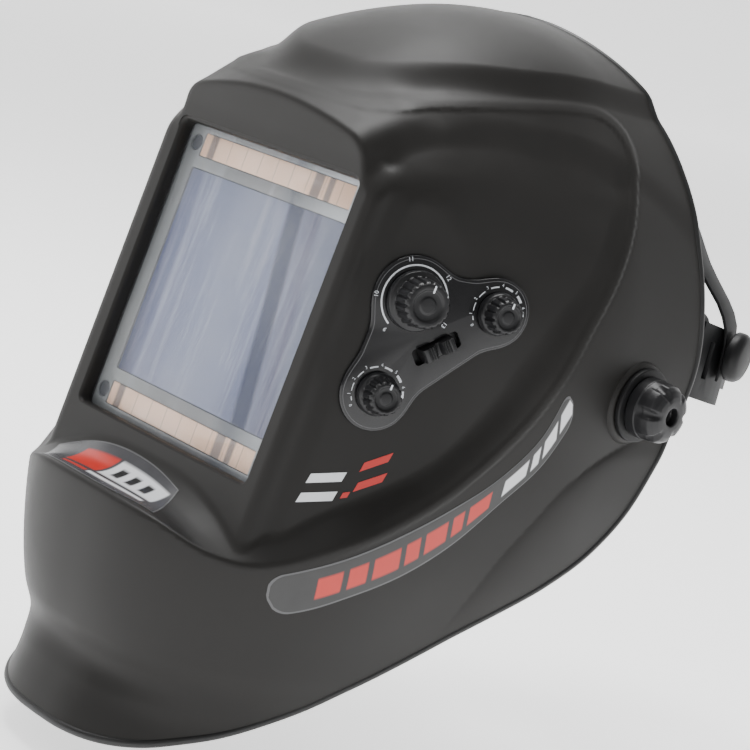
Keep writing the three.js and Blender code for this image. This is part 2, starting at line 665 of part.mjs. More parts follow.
// Half-width of the band's oval at a distance from its middle, moved out by an offset.
function bandPoint(angle, offset) {
  const reach = Math.sin(angle) < 0 ? BAND_FRONT : BAND_REAR;
  const power = Math.sin(angle) < 0 ? 2.3 : 4;
  const c = Math.abs(Math.cos(angle)) ** (2 / power) * Math.sign(Math.cos(angle));
  const s = Math.abs(Math.sin(angle)) ** (2 / power) * Math.sign(Math.sin(angle));
  return [c * (BAND_HALF_WIDTH + offset), BAND_MIDDLE + s * (reach + offset)];
}

const bandLevel = (y) => BAND_LEVEL - BAND_FALL * y;

// A strip along the oval, from one angle to another, between two offsets.
function bandStrip(from, to, inner, outer, height, steps, lift = 0) {
  const rings = [];
  for (let i = 0; i <= steps; i += 1) {
    const angle = THREE.MathUtils.degToRad(from + (to - from) * i / steps);
    const [xi, yi] = bandPoint(angle, inner);
    const [xo, yo] = bandPoint(angle, outer);
    const z = bandLevel(yi) + lift;
    const half = height / 2;
    rings.push([[xi, yi, z - half], [xo, yo, z - half], [xo, yo, z + half], [xi, yi, z + half]]);
  }
  return loft(rings);
}

// A flat strap through points over the head, its inner face on them and its width crosswise.
function strapAlong(points, width, thick, steps, middleY = 40) {
  const middle = new THREE.Vector3(0, middleY, 10);
  const curve = new THREE.CatmullRomCurve3(points.map((p) => new THREE.Vector3(...p)));
  const rings = [];
  for (let i = 0; i <= steps; i += 1) {
    const here = curve.getPointAt(i / steps);
    const along = curve.getTangentAt(i / steps);
    const out = here.clone().sub(middle);
    out.addScaledVector(along, -out.dot(along)).normalize();
    const across = along.clone().cross(out).multiplyScalar(width / 2);
    const corner = (side, lift) =>
      here.clone().addScaledVector(across, side).addScaledVector(out, lift).toArray();
    rings.push([corner(-1, 0), corner(1, 0), corner(1, thick), corner(-1, thick)]);
  }
  return loft(rings);
}

// Half a strap's points with their mirror images.
const bothSides = (points) =>
  [...points, ...points.slice(0, -1).reverse().map(([x, y, z]) => [-x, y, z])];

function makeHeadgear() {
  add(helmet, 'headband', bandStrip(-203, 23, 0, BAND_THICK, BAND_HEIGHT, 44), BAND_GREY);
  add(helmet, 'sweatband', bandStrip(-146, -34, -6.4, -0.4, 34, 22), FABRIC);
  const crown = bothSides([[83.2, 30, 12], [83.6, 30, 28], [82.2, 30, 50], [76, 30, 77],
    [62, 30, 98], [38, 30, 112], [0, 30, 118]]);
  add(helmet, 'crown_strap', strapAlong(crown, 18, 1.5, 36), BAND_GREY);
  const rear = bothSides([[82.6, 103.7, 5], [83, 102.3, 17], [83.2, 99.5, 29.5], [79.2, 97, 38],
    [72.6, 94.5, 45.5], [66.2, 91, 53.5], [58.5, 85, 68], [46, 77, 88], [27, 68, 102], [0, 64.5, 107.5]]);
  add(helmet, 'rear_crown_strap', strapAlong(rear, 14, 1.5, 48, 78), BAND_GREY);
  for (const [side, word] of [[1, 'left'], [-1, 'right']]) {
    const [from, to] = side > 0 ? [9, 66] : [171, 114];
    const strip = bandStrip(from, to, 3.6, 5.4, 24, 14);
    const plate = bandStrip(90 - side * 81, 90 - side * 59, 3.6, 5.4, 36, 7, -2.5);
    const slot = bandStrip(90 - side * 77, 90 - side * 74.4, -5, 20, 18, 2, -2);
    add(helmet, `rear_band_${word}`, cut(join(strip, plate), slot), BAND_GREY);
    const hub = turned([[0, 0], [0, 12], [4, 12], [6, 10.5], [7, 8], [7, 0]], 28);
    hub.rotateZ(Math.PI / 2 - side * HUB_TURN).translate(side * HUB_AT[0], HUB_AT[1], HUB_AT[2]);
    add(helmet, `rear_hub_${word}`, hub, TRIM_BLACK);
  }
  add(helmet, 'rear_pad', bandStrip(112, 68, -5.4, 1.2, 34, 10), FABRIC);
}

makeHeadgear();

// ------------------------------------------------------------------ ratchet

const PLATE_FROM = RATCHET_Y + 2.2;
const COVER_FROM = PLATE_FROM + 2.3;
const COVER_TO = COVER_FROM + 10.5;
const RACK_FROM = COVER_FROM + 2.4;
const RACK_TO = RACK_FROM + 2.4;
const KNOB_FROM = COVER_TO + GAP;
const KNOB_TO = KNOB_FROM + 16;
const RACK_PITCH = 2 * Math.PI * PINION_PITCH / PINION_TEETH;

// Outlines here are [x, z] about the knob's axis, swept along +Y.
function rearPlate(outline, from, to) {
  const shape = new THREE.Shape(outline.map(([x, z]) => new THREE.Vector2(x, z)));
  const plate = new THREE.ExtrudeGeometry(shape, { depth: to - from, bevelEnabled: false });
  plate.rotateX(Math.PI / 2);
  plate.translate(0, to, RATCHET_Z);
  return plate;
}

function disc(radius, sides, middle = [0, 0]) {
  return Array.from({ length: sides }, (_, i) => [
    middle[0] + radius * Math.cos(i / sides * 2 * Math.PI),
    middle[1] + radius * Math.sin(i / sides * 2 * Math.PI),
  ]);
}

function pinionOutline() {
  const points = [];
  const step = 2 * Math.PI / PINION_TEETH;
  for (let i = 0; i < PINION_TEETH; i += 1) {
    const middle = Math.PI / 2 + i * step;
    for (const [r, share] of [[5.2, -0.32], [7.2, -0.13], [7.2, 0.13], [5.2, 0.32]]) {
      points.push([r * Math.cos(middle + share * step), r * Math.sin(middle + share * step)]);
    }
  }
  return points;
}

// A toothed strip beside the pinion: side 1 lies above it and -1 below it.
function rackOutline(side, from, to) {
  const points = [[to, 13], [from, 13], [from, 7.7]];
  const first = Math.ceil((from + 1.2) / RACK_PITCH - 0.5) + 0.5;
  for (let i = first; i * RACK_PITCH < Math.min(to - 1.2, 18); i += 1) {
    const x = i * RACK_PITCH;
    points.push([x - 0.75, 7.7], [x - 0.3, 6.0], [x + 0.3, 6.0], [x + 0.75, 7.7]);
  }
  points.push([to, 7.7]);
  return side > 0 ? points : points.map(([x, z]) => [-x, -z]);
}

function knobOutline() {
  return Array.from({ length: 50 }, (_, i) => {
    const angle = i / 50 * 2 * Math.PI;
    const r = 25 - 1.8 * Math.max(0, Math.cos(10 * angle));
    return [r * Math.cos(angle), r * Math.sin(angle)];
  });
}

function makeRatchet() {
  add(helmet, 'ratchet_plate', rearPlate(roundedOutline(72, 36, 6), PLATE_FROM, PLATE_FROM + 2),
    BAND_GREY);
  const box = rearPlate(roundedOutline(74, 38, 7), COVER_FROM, COVER_TO);
  const hollow = rearPlate(roundedOutline(70, 34, 5), COVER_FROM - 1, COVER_TO - 2);
  const slots = [1, -1].map((side) =>
    block([-60, RACK_FROM - 0.5, RATCHET_Z + side * 10.35 - 3.2],
      [60, RACK_TO + 0.5, RATCHET_Z + side * 10.35 + 3.2]));
  add(helmet, 'ratchet_cover', cut(box, hollow, ...slots, rearPlate(disc(4.2, 24), 0, 200)),
    BAND_GREY);
  add(helmet, 'rack_left', rearPlate(rackOutline(1, -18, 45), RACK_FROM, RACK_TO), PALE_GREY);
  add(helmet, 'rack_right', rearPlate(rackOutline(-1, -18, 45), RACK_FROM, RACK_TO), PALE_GREY);
  const gear = rearPlate(pinionOutline(), RACK_FROM - 0.8, RACK_TO + 0.8);
  const spindle = rearPlate(disc(3.9, 24), RACK_FROM - 0.8, KNOB_FROM + 9);
  add(helmet, 'ratchet_pinion', join(gear, spindle), PALE_GREY);
  add(helmet, 'ratchet_knob', cut(rearPlate(knobOutline(), KNOB_FROM, KNOB_TO),
    rearPlate(disc(4.2, 24), 0, KNOB_FROM + 9.4)), TRIM_BLACK);
}

makeRatchet();

export default helmet;
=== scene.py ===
import json
import math

import bpy
import bmesh
import numpy as np
from mathutils import Matrix, Vector


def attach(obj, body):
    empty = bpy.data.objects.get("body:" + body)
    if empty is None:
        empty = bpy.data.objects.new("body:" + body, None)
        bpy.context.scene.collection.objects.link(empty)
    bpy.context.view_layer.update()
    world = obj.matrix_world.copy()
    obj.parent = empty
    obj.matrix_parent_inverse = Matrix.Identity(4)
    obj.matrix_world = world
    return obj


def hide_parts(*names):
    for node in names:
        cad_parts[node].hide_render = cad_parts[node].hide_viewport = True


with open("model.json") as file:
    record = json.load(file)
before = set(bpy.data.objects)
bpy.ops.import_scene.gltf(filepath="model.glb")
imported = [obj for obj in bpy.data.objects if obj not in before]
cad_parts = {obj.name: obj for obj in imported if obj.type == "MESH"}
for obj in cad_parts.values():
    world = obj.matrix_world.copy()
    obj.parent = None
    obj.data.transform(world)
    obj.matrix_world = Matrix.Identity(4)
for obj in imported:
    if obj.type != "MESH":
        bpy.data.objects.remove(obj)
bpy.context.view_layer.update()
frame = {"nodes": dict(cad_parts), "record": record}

NODES = frame["nodes"]
MM = 0.001
WALL = 3.0
PRINT = (1.66, 1.76)
STREAK_SLANT = 0.12
CLOTH_STEPS = 20
BAND_Z = 30 - 0.17 * 137

# ------------------------------------------------------------------ camera, light and floor


def add_camera():
    data = bpy.data.cameras.new("camera")
    data.lens = 100.8
    data.sensor_width = 36.0
    data.clip_end = 60.0
    camera = bpy.data.objects.new("camera", data)
    right = Vector((0.683033, 0.688779, 0.243003))
    down = Vector((0.301195, 0.037477, -0.952826))
    ahead = Vector((-0.665393, 0.724002, -0.181859))
    turn = Matrix((right, -down, -ahead)).transposed().to_4x4()
    camera.matrix_world = Matrix.Translation((0.6334, -0.7301, 0.1482)) @ turn
    bpy.context.scene.collection.objects.link(camera)
    bpy.context.scene.camera = camera


def add_panel_light(name, place, aim, width, height, power):
    data = setting(bpy.data.lights.new(name, "AREA"), shape="RECTANGLE", size=width, size_y=height,
                   energy=power)
    light = bpy.data.objects.new(name, data)
    direction = Vector(aim) - Vector(place)
    light.matrix_world = Matrix.Translation(place) @ direction.to_track_quat("-Z", "Y").to_matrix().to_4x4()
    bpy.context.scene.collection.objects.link(light)


def add_studio():
    add_panel_light("top_light", (-0.35, 0.0, 1.55), (0, -0.06, 0.0), 1.1, 0.9, 40)
    add_panel_light("key_light", (-1.0, -1.1, 1.5), (0, -0.08, 0), 0.9, 0.9, 5)
    add_panel_light("side_light", (1.7, 0.5, 0.9), (0, -0.05, 0), 0.7, 1.3, 1.5)
    add_panel_light("fill_light", (0.5, -1.9, 0.8), (0, -0.1, -0.02), 0.8, 0.8, 3)
    add_panel_light("front_light", (-1.3, -1.3, 0.0), (0, -0.1, -0.05), 0.7, 1.4, 9)
    world = bpy.data.worlds.new("studio")
    world.use_nodes = True
    world.node_tree.nodes["Background"].inputs[0].default_value = (1, 1, 1, 1)
    world.node_tree.nodes["Background"].inputs[1].default_value = 0.34
    bpy.context.scene.world = world


def glowing(name, colour, strength):
    """A matt pale studio surface that is lit evenly by itself."""
    m = Maker(name)
    cloud = m.noise(2.0, 3.0, 0.5)
    base = m.ramp(cloud, [(0.3, scaled(colour, 0.99)), (0.7, colour)])
    m.set("Base Color", base)
    m.set("Roughness", 0.95)
    m.set("Emission Color", (1, 1, 1, 1))
    m.set("Emission Strength", strength)
    return m.material


def add_stage():
    """A pale floor that turns up into a pale wall far behind."""
    low, far, bend, half = -193.5, 9000, 4000, 60000
    ahead = np.array((-0.677, 0.736))
    across = np.array((0.736, 0.677))
    turn = [(-12000, low), (far, low)]
    for t in np.linspace(0.1, math.pi / 2, 16):
        turn.append((far + bend * math.sin(t), low + bend * (1 - math.cos(t))))
    turn.append((far + bend, 12000))
    points = []
    for back, up in turn:
        for side in (-half, half):
            x, y = ahead * back + across * side
            points.append((x, y, up))
    faces = [(2 * i, 2 * i + 1, 2 * i + 3, 2 * i + 2) for i in range(len(turn) - 1)]
    sweep = to_mesh("backdrop", points, faces)
    paint(sweep, glowing("backdrop_white", (0.92, 0.92, 0.92), 1.15))


# ------------------------------------------------------------------ materials


def scaled(colour, k):
    return tuple(c * k for c in colour)


class Maker:
    """A small helper that adds shader nodes and links them."""

    def __init__(self, name):
        self.material = bpy.data.materials.new(name)
        self.material.use_nodes = True
        self.tree = self.material.node_tree
        self.shader = self.tree.nodes["Principled BSDF"]

    def node(self, kind, settings=None, **inputs):
        node = self.tree.nodes.new(kind)
        for key, value in (settings or {}).items():
            setattr(node, key, value)
        for key, value in inputs.items():
            self.feed(node.inputs[key], value)
        return node

    def feed(self, socket, value):
        if isinstance(value, bpy.types.NodeSocket):
            self.tree.links.new(value, socket)
        else:
            socket.default_value = value

    def set(self, name, value):
        self.feed(self.shader.inputs[name], value)

    def place(self):
        return self.node("ShaderNodeTexCoord").outputs["Object"]

    def noise(self, scale, detail=4.0, rough=0.5, where=None):
        node = self.node("ShaderNodeTexNoise", Vector=where or self.place(), Scale=scale,
                         Detail=detail, Roughness=rough)
        return node.outputs["Fac"]

    def ramp(self, fac, stops):
        node = self.node("ShaderNodeValToRGB", Fac=fac)
        elements = node.color_ramp.elements
        while len(elements) < len(stops):
            elements.new(0.5)
        for element, (at, colour) in zip(elements, stops):
            element.position = at
            element.color = (*colour, 1) if len(colour) == 3 else colour
        return node.outputs["Color"]

    def spread(self, fac, low, high, start=0.0, end=1.0):
        node = self.node("ShaderNodeMapRange", Value=fac)
        limits = {"From Min": start, "From Max": end, "To Min": low, "To Max": high}
        for key, value in limits.items():
            node.inputs[key].default_value = value
        return node.outputs["Result"]

    def math(self, operation, a, b=0.0, c=0.0):
        node = self.node("ShaderNodeMath", {"operation": operation})
        for socket, value in zip(node.inputs, (a, b, c)):
            self.feed(socket, value)
        return node.outputs[0]

    def mix(self, fac, a, b):
        node = self.node("ShaderNodeMix", {"data_type": "RGBA"})
        for socket, value in ((node.inputs[0], fac), (node.inputs[6], a), (node.inputs[7], b)):
            self.feed(socket, value if not isinstance(value, tuple) or len(value) == 4 else (*value, 1))
        return node.outputs[2]

    def bump(self, height, strength, distance):
        node = self.node("ShaderNodeBump", Height=height)
        node.inputs["Strength"].default_value = strength
        node.inputs["Distance"].default_value = distance
        self.set("Normal", node.outputs["Normal"])


def moulded(name, colour, roughness, grain=2600.0, strength=0.25, vary=0.12, shine=0.5):
    """Moulded plastic: fine grain, cloudy gloss and slight colour drift."""
    m = Maker(name)
    cloud = m.noise(22.0, 5.0, 0.6)
    fine = m.noise(grain, 3.0, 0.6)
    dark = scaled(colour, 1 - vary)
    light = scaled(colour, 1 + vary)
    base = m.ramp(cloud, [(0.3, dark), (0.7, light)])
    m.set("Base Color", base)
    m.set("Roughness", m.spread(cloud, roughness - 0.05, roughness + 0.06, 0.3, 0.7))
    m.set("Specular IOR Level", shine)
    m.bump(fine, strength, 0.00012)
    return m.material


def metal(name, colour, roughness, streak=(60.0, 60.0, 900.0)):
    m = Maker(name)
    where = m.node("ShaderNodeMapping", Vector=m.place(), Scale=streak).outputs[0]
    lines = m.noise(1.0, 4.0, 0.6, where)
    base = m.ramp(lines, [(0.3, scaled(colour, 0.8)), (0.7, colour)])
    m.set("Base Color", base)
    m.set("Roughness", m.spread(lines, roughness - 0.08, roughness + 0.12))
    m.set("Metallic", 1.0)
    m.bump(lines, 0.1, 0.0001)
    return m.material


def knitted(name, colour):
    """A knitted cover: offset rows of small loops with painted shade in the gaps between them, slight fuzz
    and stain.
    """
    m = Maker(name)
    where = m.node("ShaderNodeMapping", Vector=m.place(), Scale=(900.0, 900.0, 900.0)).outputs[0]
    cells = m.node("ShaderNodeTexVoronoi", Vector=where)
    cells.inputs["Scale"].default_value = 1.0
    loops = cells.outputs["Distance"]
    cloud = m.noise(60.0, 4.0, 0.6)
    base = m.ramp(cloud, [(0.3, scaled(colour, 0.8)), (0.7, scaled(colour, 1.2))])
    # painted shade: the colour darkens towards the gaps between the loops
    base = m.mix(m.spread(loops, 0.0, 0.6, 0.2, 0.9), base, scaled(colour, 0.35))
    m.set("Base Color", base)
    m.set("Roughness", 0.95)
    m.set("Sheen Weight", 0.4)
    m.set("Sheen Roughness", 0.5)
    m.bump(m.math("SUBTRACT", 1.0, loops), 0.6, 0.0004)
    return m.material


def lens_clear(name):
    m = Maker(name)
    smear = m.noise(18.0, 5.0, 0.7)
    m.set("Base Color", m.ramp(smear, [(0.3, (0.8, 0.86, 0.94)), (0.7, (0.95, 0.97, 1.0))]))
    m.set("Roughness", m.spread(smear, 0.03, 0.08))
    m.set("Alpha", m.spread(smear, 0.04, 0.08, 0.3, 0.7))
    m.set("Specular IOR Level", 0.28)
    return m.material


# ------------------------------------------------------------------ mesh helpers


def to_mesh(name, points, faces, smooth=True):
    """An object from points in millimetres."""
    mesh = bpy.data.meshes.new(name)
    places = [tuple(p) for p in np.asarray(points, float) * MM]
    mesh.from_pydata(places, [], [tuple(int(i) for i in f) for f in faces])
    mesh.validate()
    if smooth:
        mesh.shade_smooth()
    obj = bpy.data.objects.new(name, mesh)
    bpy.context.scene.collection.objects.link(obj)
    return obj


def read(items, name, width=1, kind=float):
    """One property of all items of a mesh, as an array."""
    found = np.empty(len(items) * width, kind)
    items.foreach_get(name, found)
    return found.reshape(-1, width) if width > 1 else found


def paint(obj, material):
    obj.data.materials.clear()
    obj.data.materials.append(material)
    return obj


def final_mesh(obj):
    bpy.context.view_layer.update()
    return bpy.data.meshes.new_from_object(obj.evaluated_get(bpy.context.evaluated_depsgraph_get()))


def apply_modifiers(obj):
    mesh = final_mesh(obj)
    obj.modifiers.clear()
    obj.data = mesh
    return obj


def setting(target, **values):
    for key, value in values.items():
        setattr(target, key, value)
    return target


def modify(obj, kind, **values):
    return setting(obj.modifiers.new(kind.lower(), kind), **values)


def boolean(obj, *tools, operation="DIFFERENCE"):
    for tool in tools:
        modify(obj, "BOOLEAN", object=tool, operation=operation, solver="MANIFOLD")
    apply_modifiers(obj)
    for tool in tools:
        bpy.data.objects.remove(tool)
    return obj


def soften(obj, angle=35.0):
    obj.data.shade_smooth()
    obj.data.set_sharp_from_angle(angle=math.radians(angle))
    return obj


def rounded_edges(obj, width, segments=2, angle=30.0):
    modify(obj, "BEVEL", width=width * MM, segments=segments, limit_method="ANGLE",
           angle_limit=math.radians(angle))
    apply_modifiers(obj)
    return soften(obj, 50.0)


def finish(obj, material, body, *nodes):
    """Paints a piece, rides it on its body and hides the CAD nodes that it stands for."""
    paint(obj, material)
    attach(obj, body)
    if nodes:
        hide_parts(*nodes)
    return obj


def rings_to_mesh(name, rings, closed_ends=True):
    """A tube through equal closed rings of points, with a middle point at each end."""
    rings = np.asarray(rings, float)
    count = rings.shape[1]
    points = list(rings.reshape(-1, 3))
    faces = []
    for i in range(len(rings) - 1):
        for j in range(count):
            a, b = i * count + j, i * count + (j + 1) % count
            faces.append((a, b, b + count, a + count))
    if closed_ends:
        for ring, start, order in ((rings[0], 0, -1), (rings[-1], (len(rings) - 1) * count, 1)):
            points.append(ring.mean(axis=0))
            middle = len(points) - 1
            for j in range(count):
                pair = (start + j, start + (j + 1) % count)
                faces.append((middle, *pair[::order]))
    return outward(to_mesh(name, points, faces))


def outward(obj):
    """Turns the faces of a closed mesh outwards, by the sign of the volume."""
    obj.data.calc_loop_triangles()
    t = read(obj.data.vertices, "co", 3)[read(obj.data.loop_triangles, "vertices", 3, int)]
    if np.einsum("ij,ij->i", t[:, 0], np.cross(t[:, 1], t[:, 2])).sum() < 0:
        obj.data.flip_normals()
    return obj


def round_profile(profile, radius, steps=3):
    """Rounds each inner corner of a polyline of (along, radius) points."""
    result = [profile[0]]
    for before, here, after in zip(profile, profile[1:], profile[2:]):
        here_v = np.array(here[:2], float)
        back = np.array(before[:2], float) - here_v
        ahead = np.array(after[:2], float) - here_v
        reach = min(radius, np.linalg.norm(back) * 0.45, np.linalg.norm(ahead) * 0.45)
        p0 = here_v + back / (np.linalg.norm(back) + 1e-9) * reach
        p2 = here_v + ahead / (np.linalg.norm(ahead) + 1e-9) * reach
        for i in range(steps + 1):
            t = i / steps
            point = (1 - t) ** 2 * p0 + 2 * t * (1 - t) * here_v + t * t * p2
            result.append((*point, *here[2:]))
    result.append(profile[-1])
    return result


def turned_rings(profile, place, sides, flutes=0, radius=0.5):
    """Rings of a turned piece: its profile is (along, radius[, flute depth]), place maps (along, u, v)."""
    angle = np.arange(sides) / sides * 2 * np.pi
    wave = np.clip(np.cos(flutes * angle) * 1.6 - 0.55, 0, 1) if flutes else 0 * angle
    rings = []
    for along, r, *rest in round_profile(profile, radius):
        reach = r - (rest[0] if rest else 0.0) * wave
        rings.append([place(along, q * math.cos(a), q * math.sin(a)) for q, a in zip(reach, angle)])
    return rings


def turned(name, profile, place, sides=96, flutes=0, radius=0.5, closed_ends=True):
    return rings_to_mesh(name, turned_rings(profile, place, sides, flutes, radius), closed_ends)


def along_x(side):
    return lambda a, u, v: (a * side, u, v)


# ------------------------------------------------------------------ the window's and side panel's frames

TILT = math.radians(10.0)
COS, SIN = math.cos(TILT), math.sin(TILT)
WINDOW_Y, WINDOW_Z = -149.3, 6.0
WINDOW_WIDE, WINDOW_HIGH = 111, 129
# how much wider the opening is (second) at a depth behind the window plane (first)
WINDOW_EDGE = [(-25, 3.4), (-0.2, 3.4), (0.1, 2.2), (0.5, 1.2), (1.1, 0.5), (1.9, 0.1), (2.6, 0.0),
               (9, 0.0)]
LEAN = math.atan(0.46)
PANEL_AT = (79.7, 28.0, 28.0)


def from_window(x, back, up):
    return (x, WINDOW_Y + back * COS + up * SIN, WINDOW_Z - back * SIN + up * COS)


def from_panel(out, back, up):
    x = PANEL_AT[0] + out * math.cos(LEAN) + back * math.sin(LEAN)
    y = PANEL_AT[1] - out * math.sin(LEAN) + back * math.cos(LEAN)
    return from_window(x, y, PANEL_AT[2] + up)


def on_panel(back, up):
    return lambda out, u, v: from_panel(out, back + u, up + v)


# ------------------------------------------------------------------ the shell's surface

HALF_WIDTH = [(-200, 82), (-182, 80), (-163, 79), (-145, 87), (-119, 96), (-104, 101), (-86, 106),
              (-60, 110), (-20, 113), (0, 114), (40, 114)]
REACH = [(-200, 185), (-182, 183), (-170, 180), (-158, 176), (-148, 173), (-134, 178), (-100, 183),
         (-80, 183), (-50, 177), (0, 167), (40, 165)]
RECESS_REAR = [(-95, -166), (-82, -151), (-73, -137), (-62, -119), (-49, -100), (-32, -81),
               (-13, -65), (8, -53), (31, -42), (48, -32), (69, -21), (84, -15), (110, -8)]
RECESS_TOP = [(-130, 95), (-113, 100), (-90, 105), (-62, 109), (-38, 112), (-10, 113)]
RECESS_BOTTOM = [(-200, -76), (-190, -77), (-177, -84), (-165, -86), (-150, -86), (0, -86)]
SIDE_FOLD = [(-130, -70), (-94, -61), (-73, -53), (-56, -42), (-39, -29), (-26, -12), (-17, 6), (0, 40)]
RIM = [(-215, -176), (-190, -176), (-173, -173), (-159, -169), (-145, -165), (-130, -159),
       (-115, -151), (-101, -141), (-86, -131), (-70, -120), (-55, -109), (-38, -97), (-20, -85),
       (-1, -71), (14, -53), (25, -28), (33, -4), (37, 21), (35, 47), (31, 72), (27, 95), (22, 116),
       (14, 132), (5, 142), (-7, 152), (-16, 170)]


def smooth_max(a, b, k):
    h = np.clip(0.5 + 0.5 * (a - b) / k, 0, 1)
    return b + (a - b) * h + k * h * (1 - h)


def smooth_min(a, b, k):
    return -smooth_max(-a, -b, k)


def fade(start, end, value):
    h = np.clip((value - start) / (end - start), 0, 1)
    return h * h * (3 - 2 * h)


def cubic(points, slope, i, h, s):
    """The place s of the way along span i, which is h long, on a smooth curve through the points."""
    return (points[i] * (1 + 2 * s) * (1 - s) ** 2 + slope[i] * h * s * (1 - s) ** 2
            + points[i + 1] * s * s * (3 - 2 * s) + slope[i + 1] * h * s * s * (s - 1))


def curve(points, at):
    xs, ys = np.array(points, float).T
    slope = np.gradient(ys, xs)
    at = np.clip(at, xs[0], xs[-1])
    i = np.clip(np.searchsorted(xs, at, side="right") - 1, 0, len(xs) - 2)
    h = xs[i + 1] - xs[i]
    s = (at - xs[i]) / h
    return cubic(ys, slope, i, h, s)


def in_window(y, z):
    dy, dz = y - WINDOW_Y, z - WINDOW_Z
    return dy * COS - dz * SIN, dy * SIN + dz * COS


def plain_hull(x, y, z):
    across = np.abs(x)
    ahead = np.maximum(-10 - y, 0)
    up = np.maximum(z, 0)
    n = 2.1 + 0.5 * fade(-50, -140, y)
    profile = np.hypot(ahead / curve(REACH, z), up / 141)
    f = ((across / curve(HALF_WIDTH, z)) ** n + profile ** n) ** (1 / n)
    radius = np.sqrt(across ** 2 + ahead ** 2 + up ** 2) + 1e-6
    return (f - 1) * radius / np.maximum(f, 0.2)


def hull(x, y, z):
    q = ((np.abs(x) / 66) ** 2.6 + (np.maximum(40 - y, 0) / 165) ** 2.6) ** (1 / 2.6)
    bulge = 5.5 * fade(1.05, 0.95, q) * fade(60, 90, z)
    behind = np.maximum((y - curve(SIDE_FOLD, z)) * 0.75, 0)
    fold = 2.4 * behind / (behind + 7) * fade(-8, -26, z) * fade(-118, -85, z)
    return plain_hull(x, y, z) - bulge - fold


def inside_recess(y, z):
    lean = (curve(RECESS_REAR, z + 1) - curve(RECESS_REAR, z - 1)) / 2
    rear = (curve(RECESS_REAR, z) - y) / np.hypot(1, lean)
    return smooth_min(smooth_min(rear, curve(RECESS_TOP, y) - z, 22), z - curve(RECESS_BOTTOM, y), 8)


def surface(x, y, z):
    """Negative inside the shell's outer surface, and about a distance in millimetres."""
    across = np.abs(x)
    back, up = in_window(y, z)
    h = hull(x, y, z)
    depth = 3.0 * fade(-124, -95, y)
    panel = (across - (71 + 0.46 * (back - 9))) / math.hypot(1, 0.46)
    floor = smooth_max(smooth_max(panel, 9 - back, 6), h + depth, 4 + 10 * fade(-115, -70, y))
    flare = 0.25 * np.maximum(back, 0)
    bezel = smooth_max(smooth_max(across - 66 - flare, up - 72 - flare, 10), -back, 5)
    slope = 0.65 + 0.9 * fade(-60, -125, y)
    recess = inside_recess(y, z)
    bank = (h + slope * recess) / np.hypot(1, slope)
    body = smooth_max(h, smooth_min(smooth_min(floor, bezel, 3), bank, 2), 1.5 + 2.5 * fade(-140, -110, y))
    top = (z - (93 - 8 * (x / 50) ** 2 + 0.62 * (y + 143))) * 0.85
    nose = plain_hull(x, y, z) - 13 * fade(-104, -136, y)
    face = -(back + 0.45 * (up - 66)) * 0.91
    visor = smooth_max(smooth_max(smooth_max(top, across - 57 - flare, 10), nose, 4), face, 2.5)
    body = smooth_min(body, visor, 4)
    ridge = fade(-5.4, -3.4, recess) * fade(0.4, -1.6, recess)
    bead = 0.5 * ridge * fade(-150, -120, y)
    return body - bead * fade(20, 3, np.abs(h))


def closed_surface(x, y, z):
    return np.maximum(np.maximum(surface(x, y, z), -190 - z), y - 55)


def gradient(field, points, step=0.25):
    result = np.empty_like(points)
    for axis in range(3):
        offset = np.zeros(3)
        offset[axis] = step
        high = field(*(points + offset).T)
        low = field(*(points - offset).T)
        result[:, axis] = (high - low) / (2 * step)
    return result


def surface_net(name, field, step):
    """A closed mesh of even quads on the surface where the field is zero."""
    side = (np.arange(math.ceil(128 / step)) + 0.5) * step
    ys = np.arange(-205, 62, step)
    zs = np.arange(-198, 156, step)
    half = field(*np.meshgrid(side, ys, zs, indexing="ij"))
    inside = np.concatenate([half[::-1], half]) < 0
    xs = np.concatenate([-side[::-1], side])
    corners = sum(inside[i:len(xs) - 1 + i, j:len(ys) - 1 + j, k:len(zs) - 1 + k].astype(int)
                  for i in (0, 1) for j in (0, 1) for k in (0, 1))
    mixed = (corners > 0) & (corners < 8)
    number = np.full(mixed.shape, -1)
    number[mixed] = np.arange(mixed.sum())
    cells = np.argwhere(mixed)
    points = np.stack([xs[cells[:, 0]], ys[cells[:, 1]], zs[cells[:, 2]]], 1) + step / 2
    for _ in range(5):
        value = field(*points.T)
        slope = gradient(field, points)
        move = value[:, None] * slope / np.maximum((slope ** 2).sum(axis=1), 0.2)[:, None]
        points = points - np.clip(move, -step, step) * 0.9
    quads = []
    for axis in range(3):
        first, second = (axis + 1) % 3, (axis + 2) % 3
        start = [slice(1, -1)] * 3
        start[axis] = slice(0, -1)
        end = list(start)
        end[axis] = slice(1, None)
        a, b = inside[tuple(start)], inside[tuple(end)]
        at = np.argwhere(a != b)
        flip = ~a[tuple(at.T)]
        at[:, first] += 1
        at[:, second] += 1
        corner = []
        for d1, d2 in ((-1, -1), (0, -1), (0, 0), (-1, 0)):
            cell = at.copy()
            cell[:, first] += d1
            cell[:, second] += d2
            corner.append(number[tuple(cell.T)])
        quad = np.stack(corner, 1)
        quad[flip] = quad[flip][:, ::-1]
        quads.append(quad)
    return to_mesh(name, points, np.concatenate(quads))


def smooth_line(points, count):
    """Evenly spread points on a smooth curve through the given ones."""
    points = np.array(points, float)
    at = np.concatenate([[0], np.cumsum(np.linalg.norm(np.diff(points, axis=0), axis=1))])
    slope = np.gradient(points, at, axis=0)
    where = np.linspace(0, at[-1], count)
    i = np.clip(np.searchsorted(at, where, side="right") - 1, 0, len(at) - 2)
    h = (at[i + 1] - at[i])[:, None]
    s = (where - at[i])[:, None] / h
    return cubic(points, slope, i, h, s)


def extruded(name, outline, place, low, high):
    """A prism of a closed outline of (u, v), and place maps (along, u, v)."""
    count = len(outline)
    points = [place(low, u, v) for u, v in outline] + [place(high, u, v) for u, v in outline]
    faces = [tuple(range(count))[::-1], tuple(range(count, 2 * count))]
    faces += [(j, (j + 1) % count, (j + 1) % count + count, j + count) for j in range(count)]
    return outward(to_mesh(name, points, faces, smooth=False))


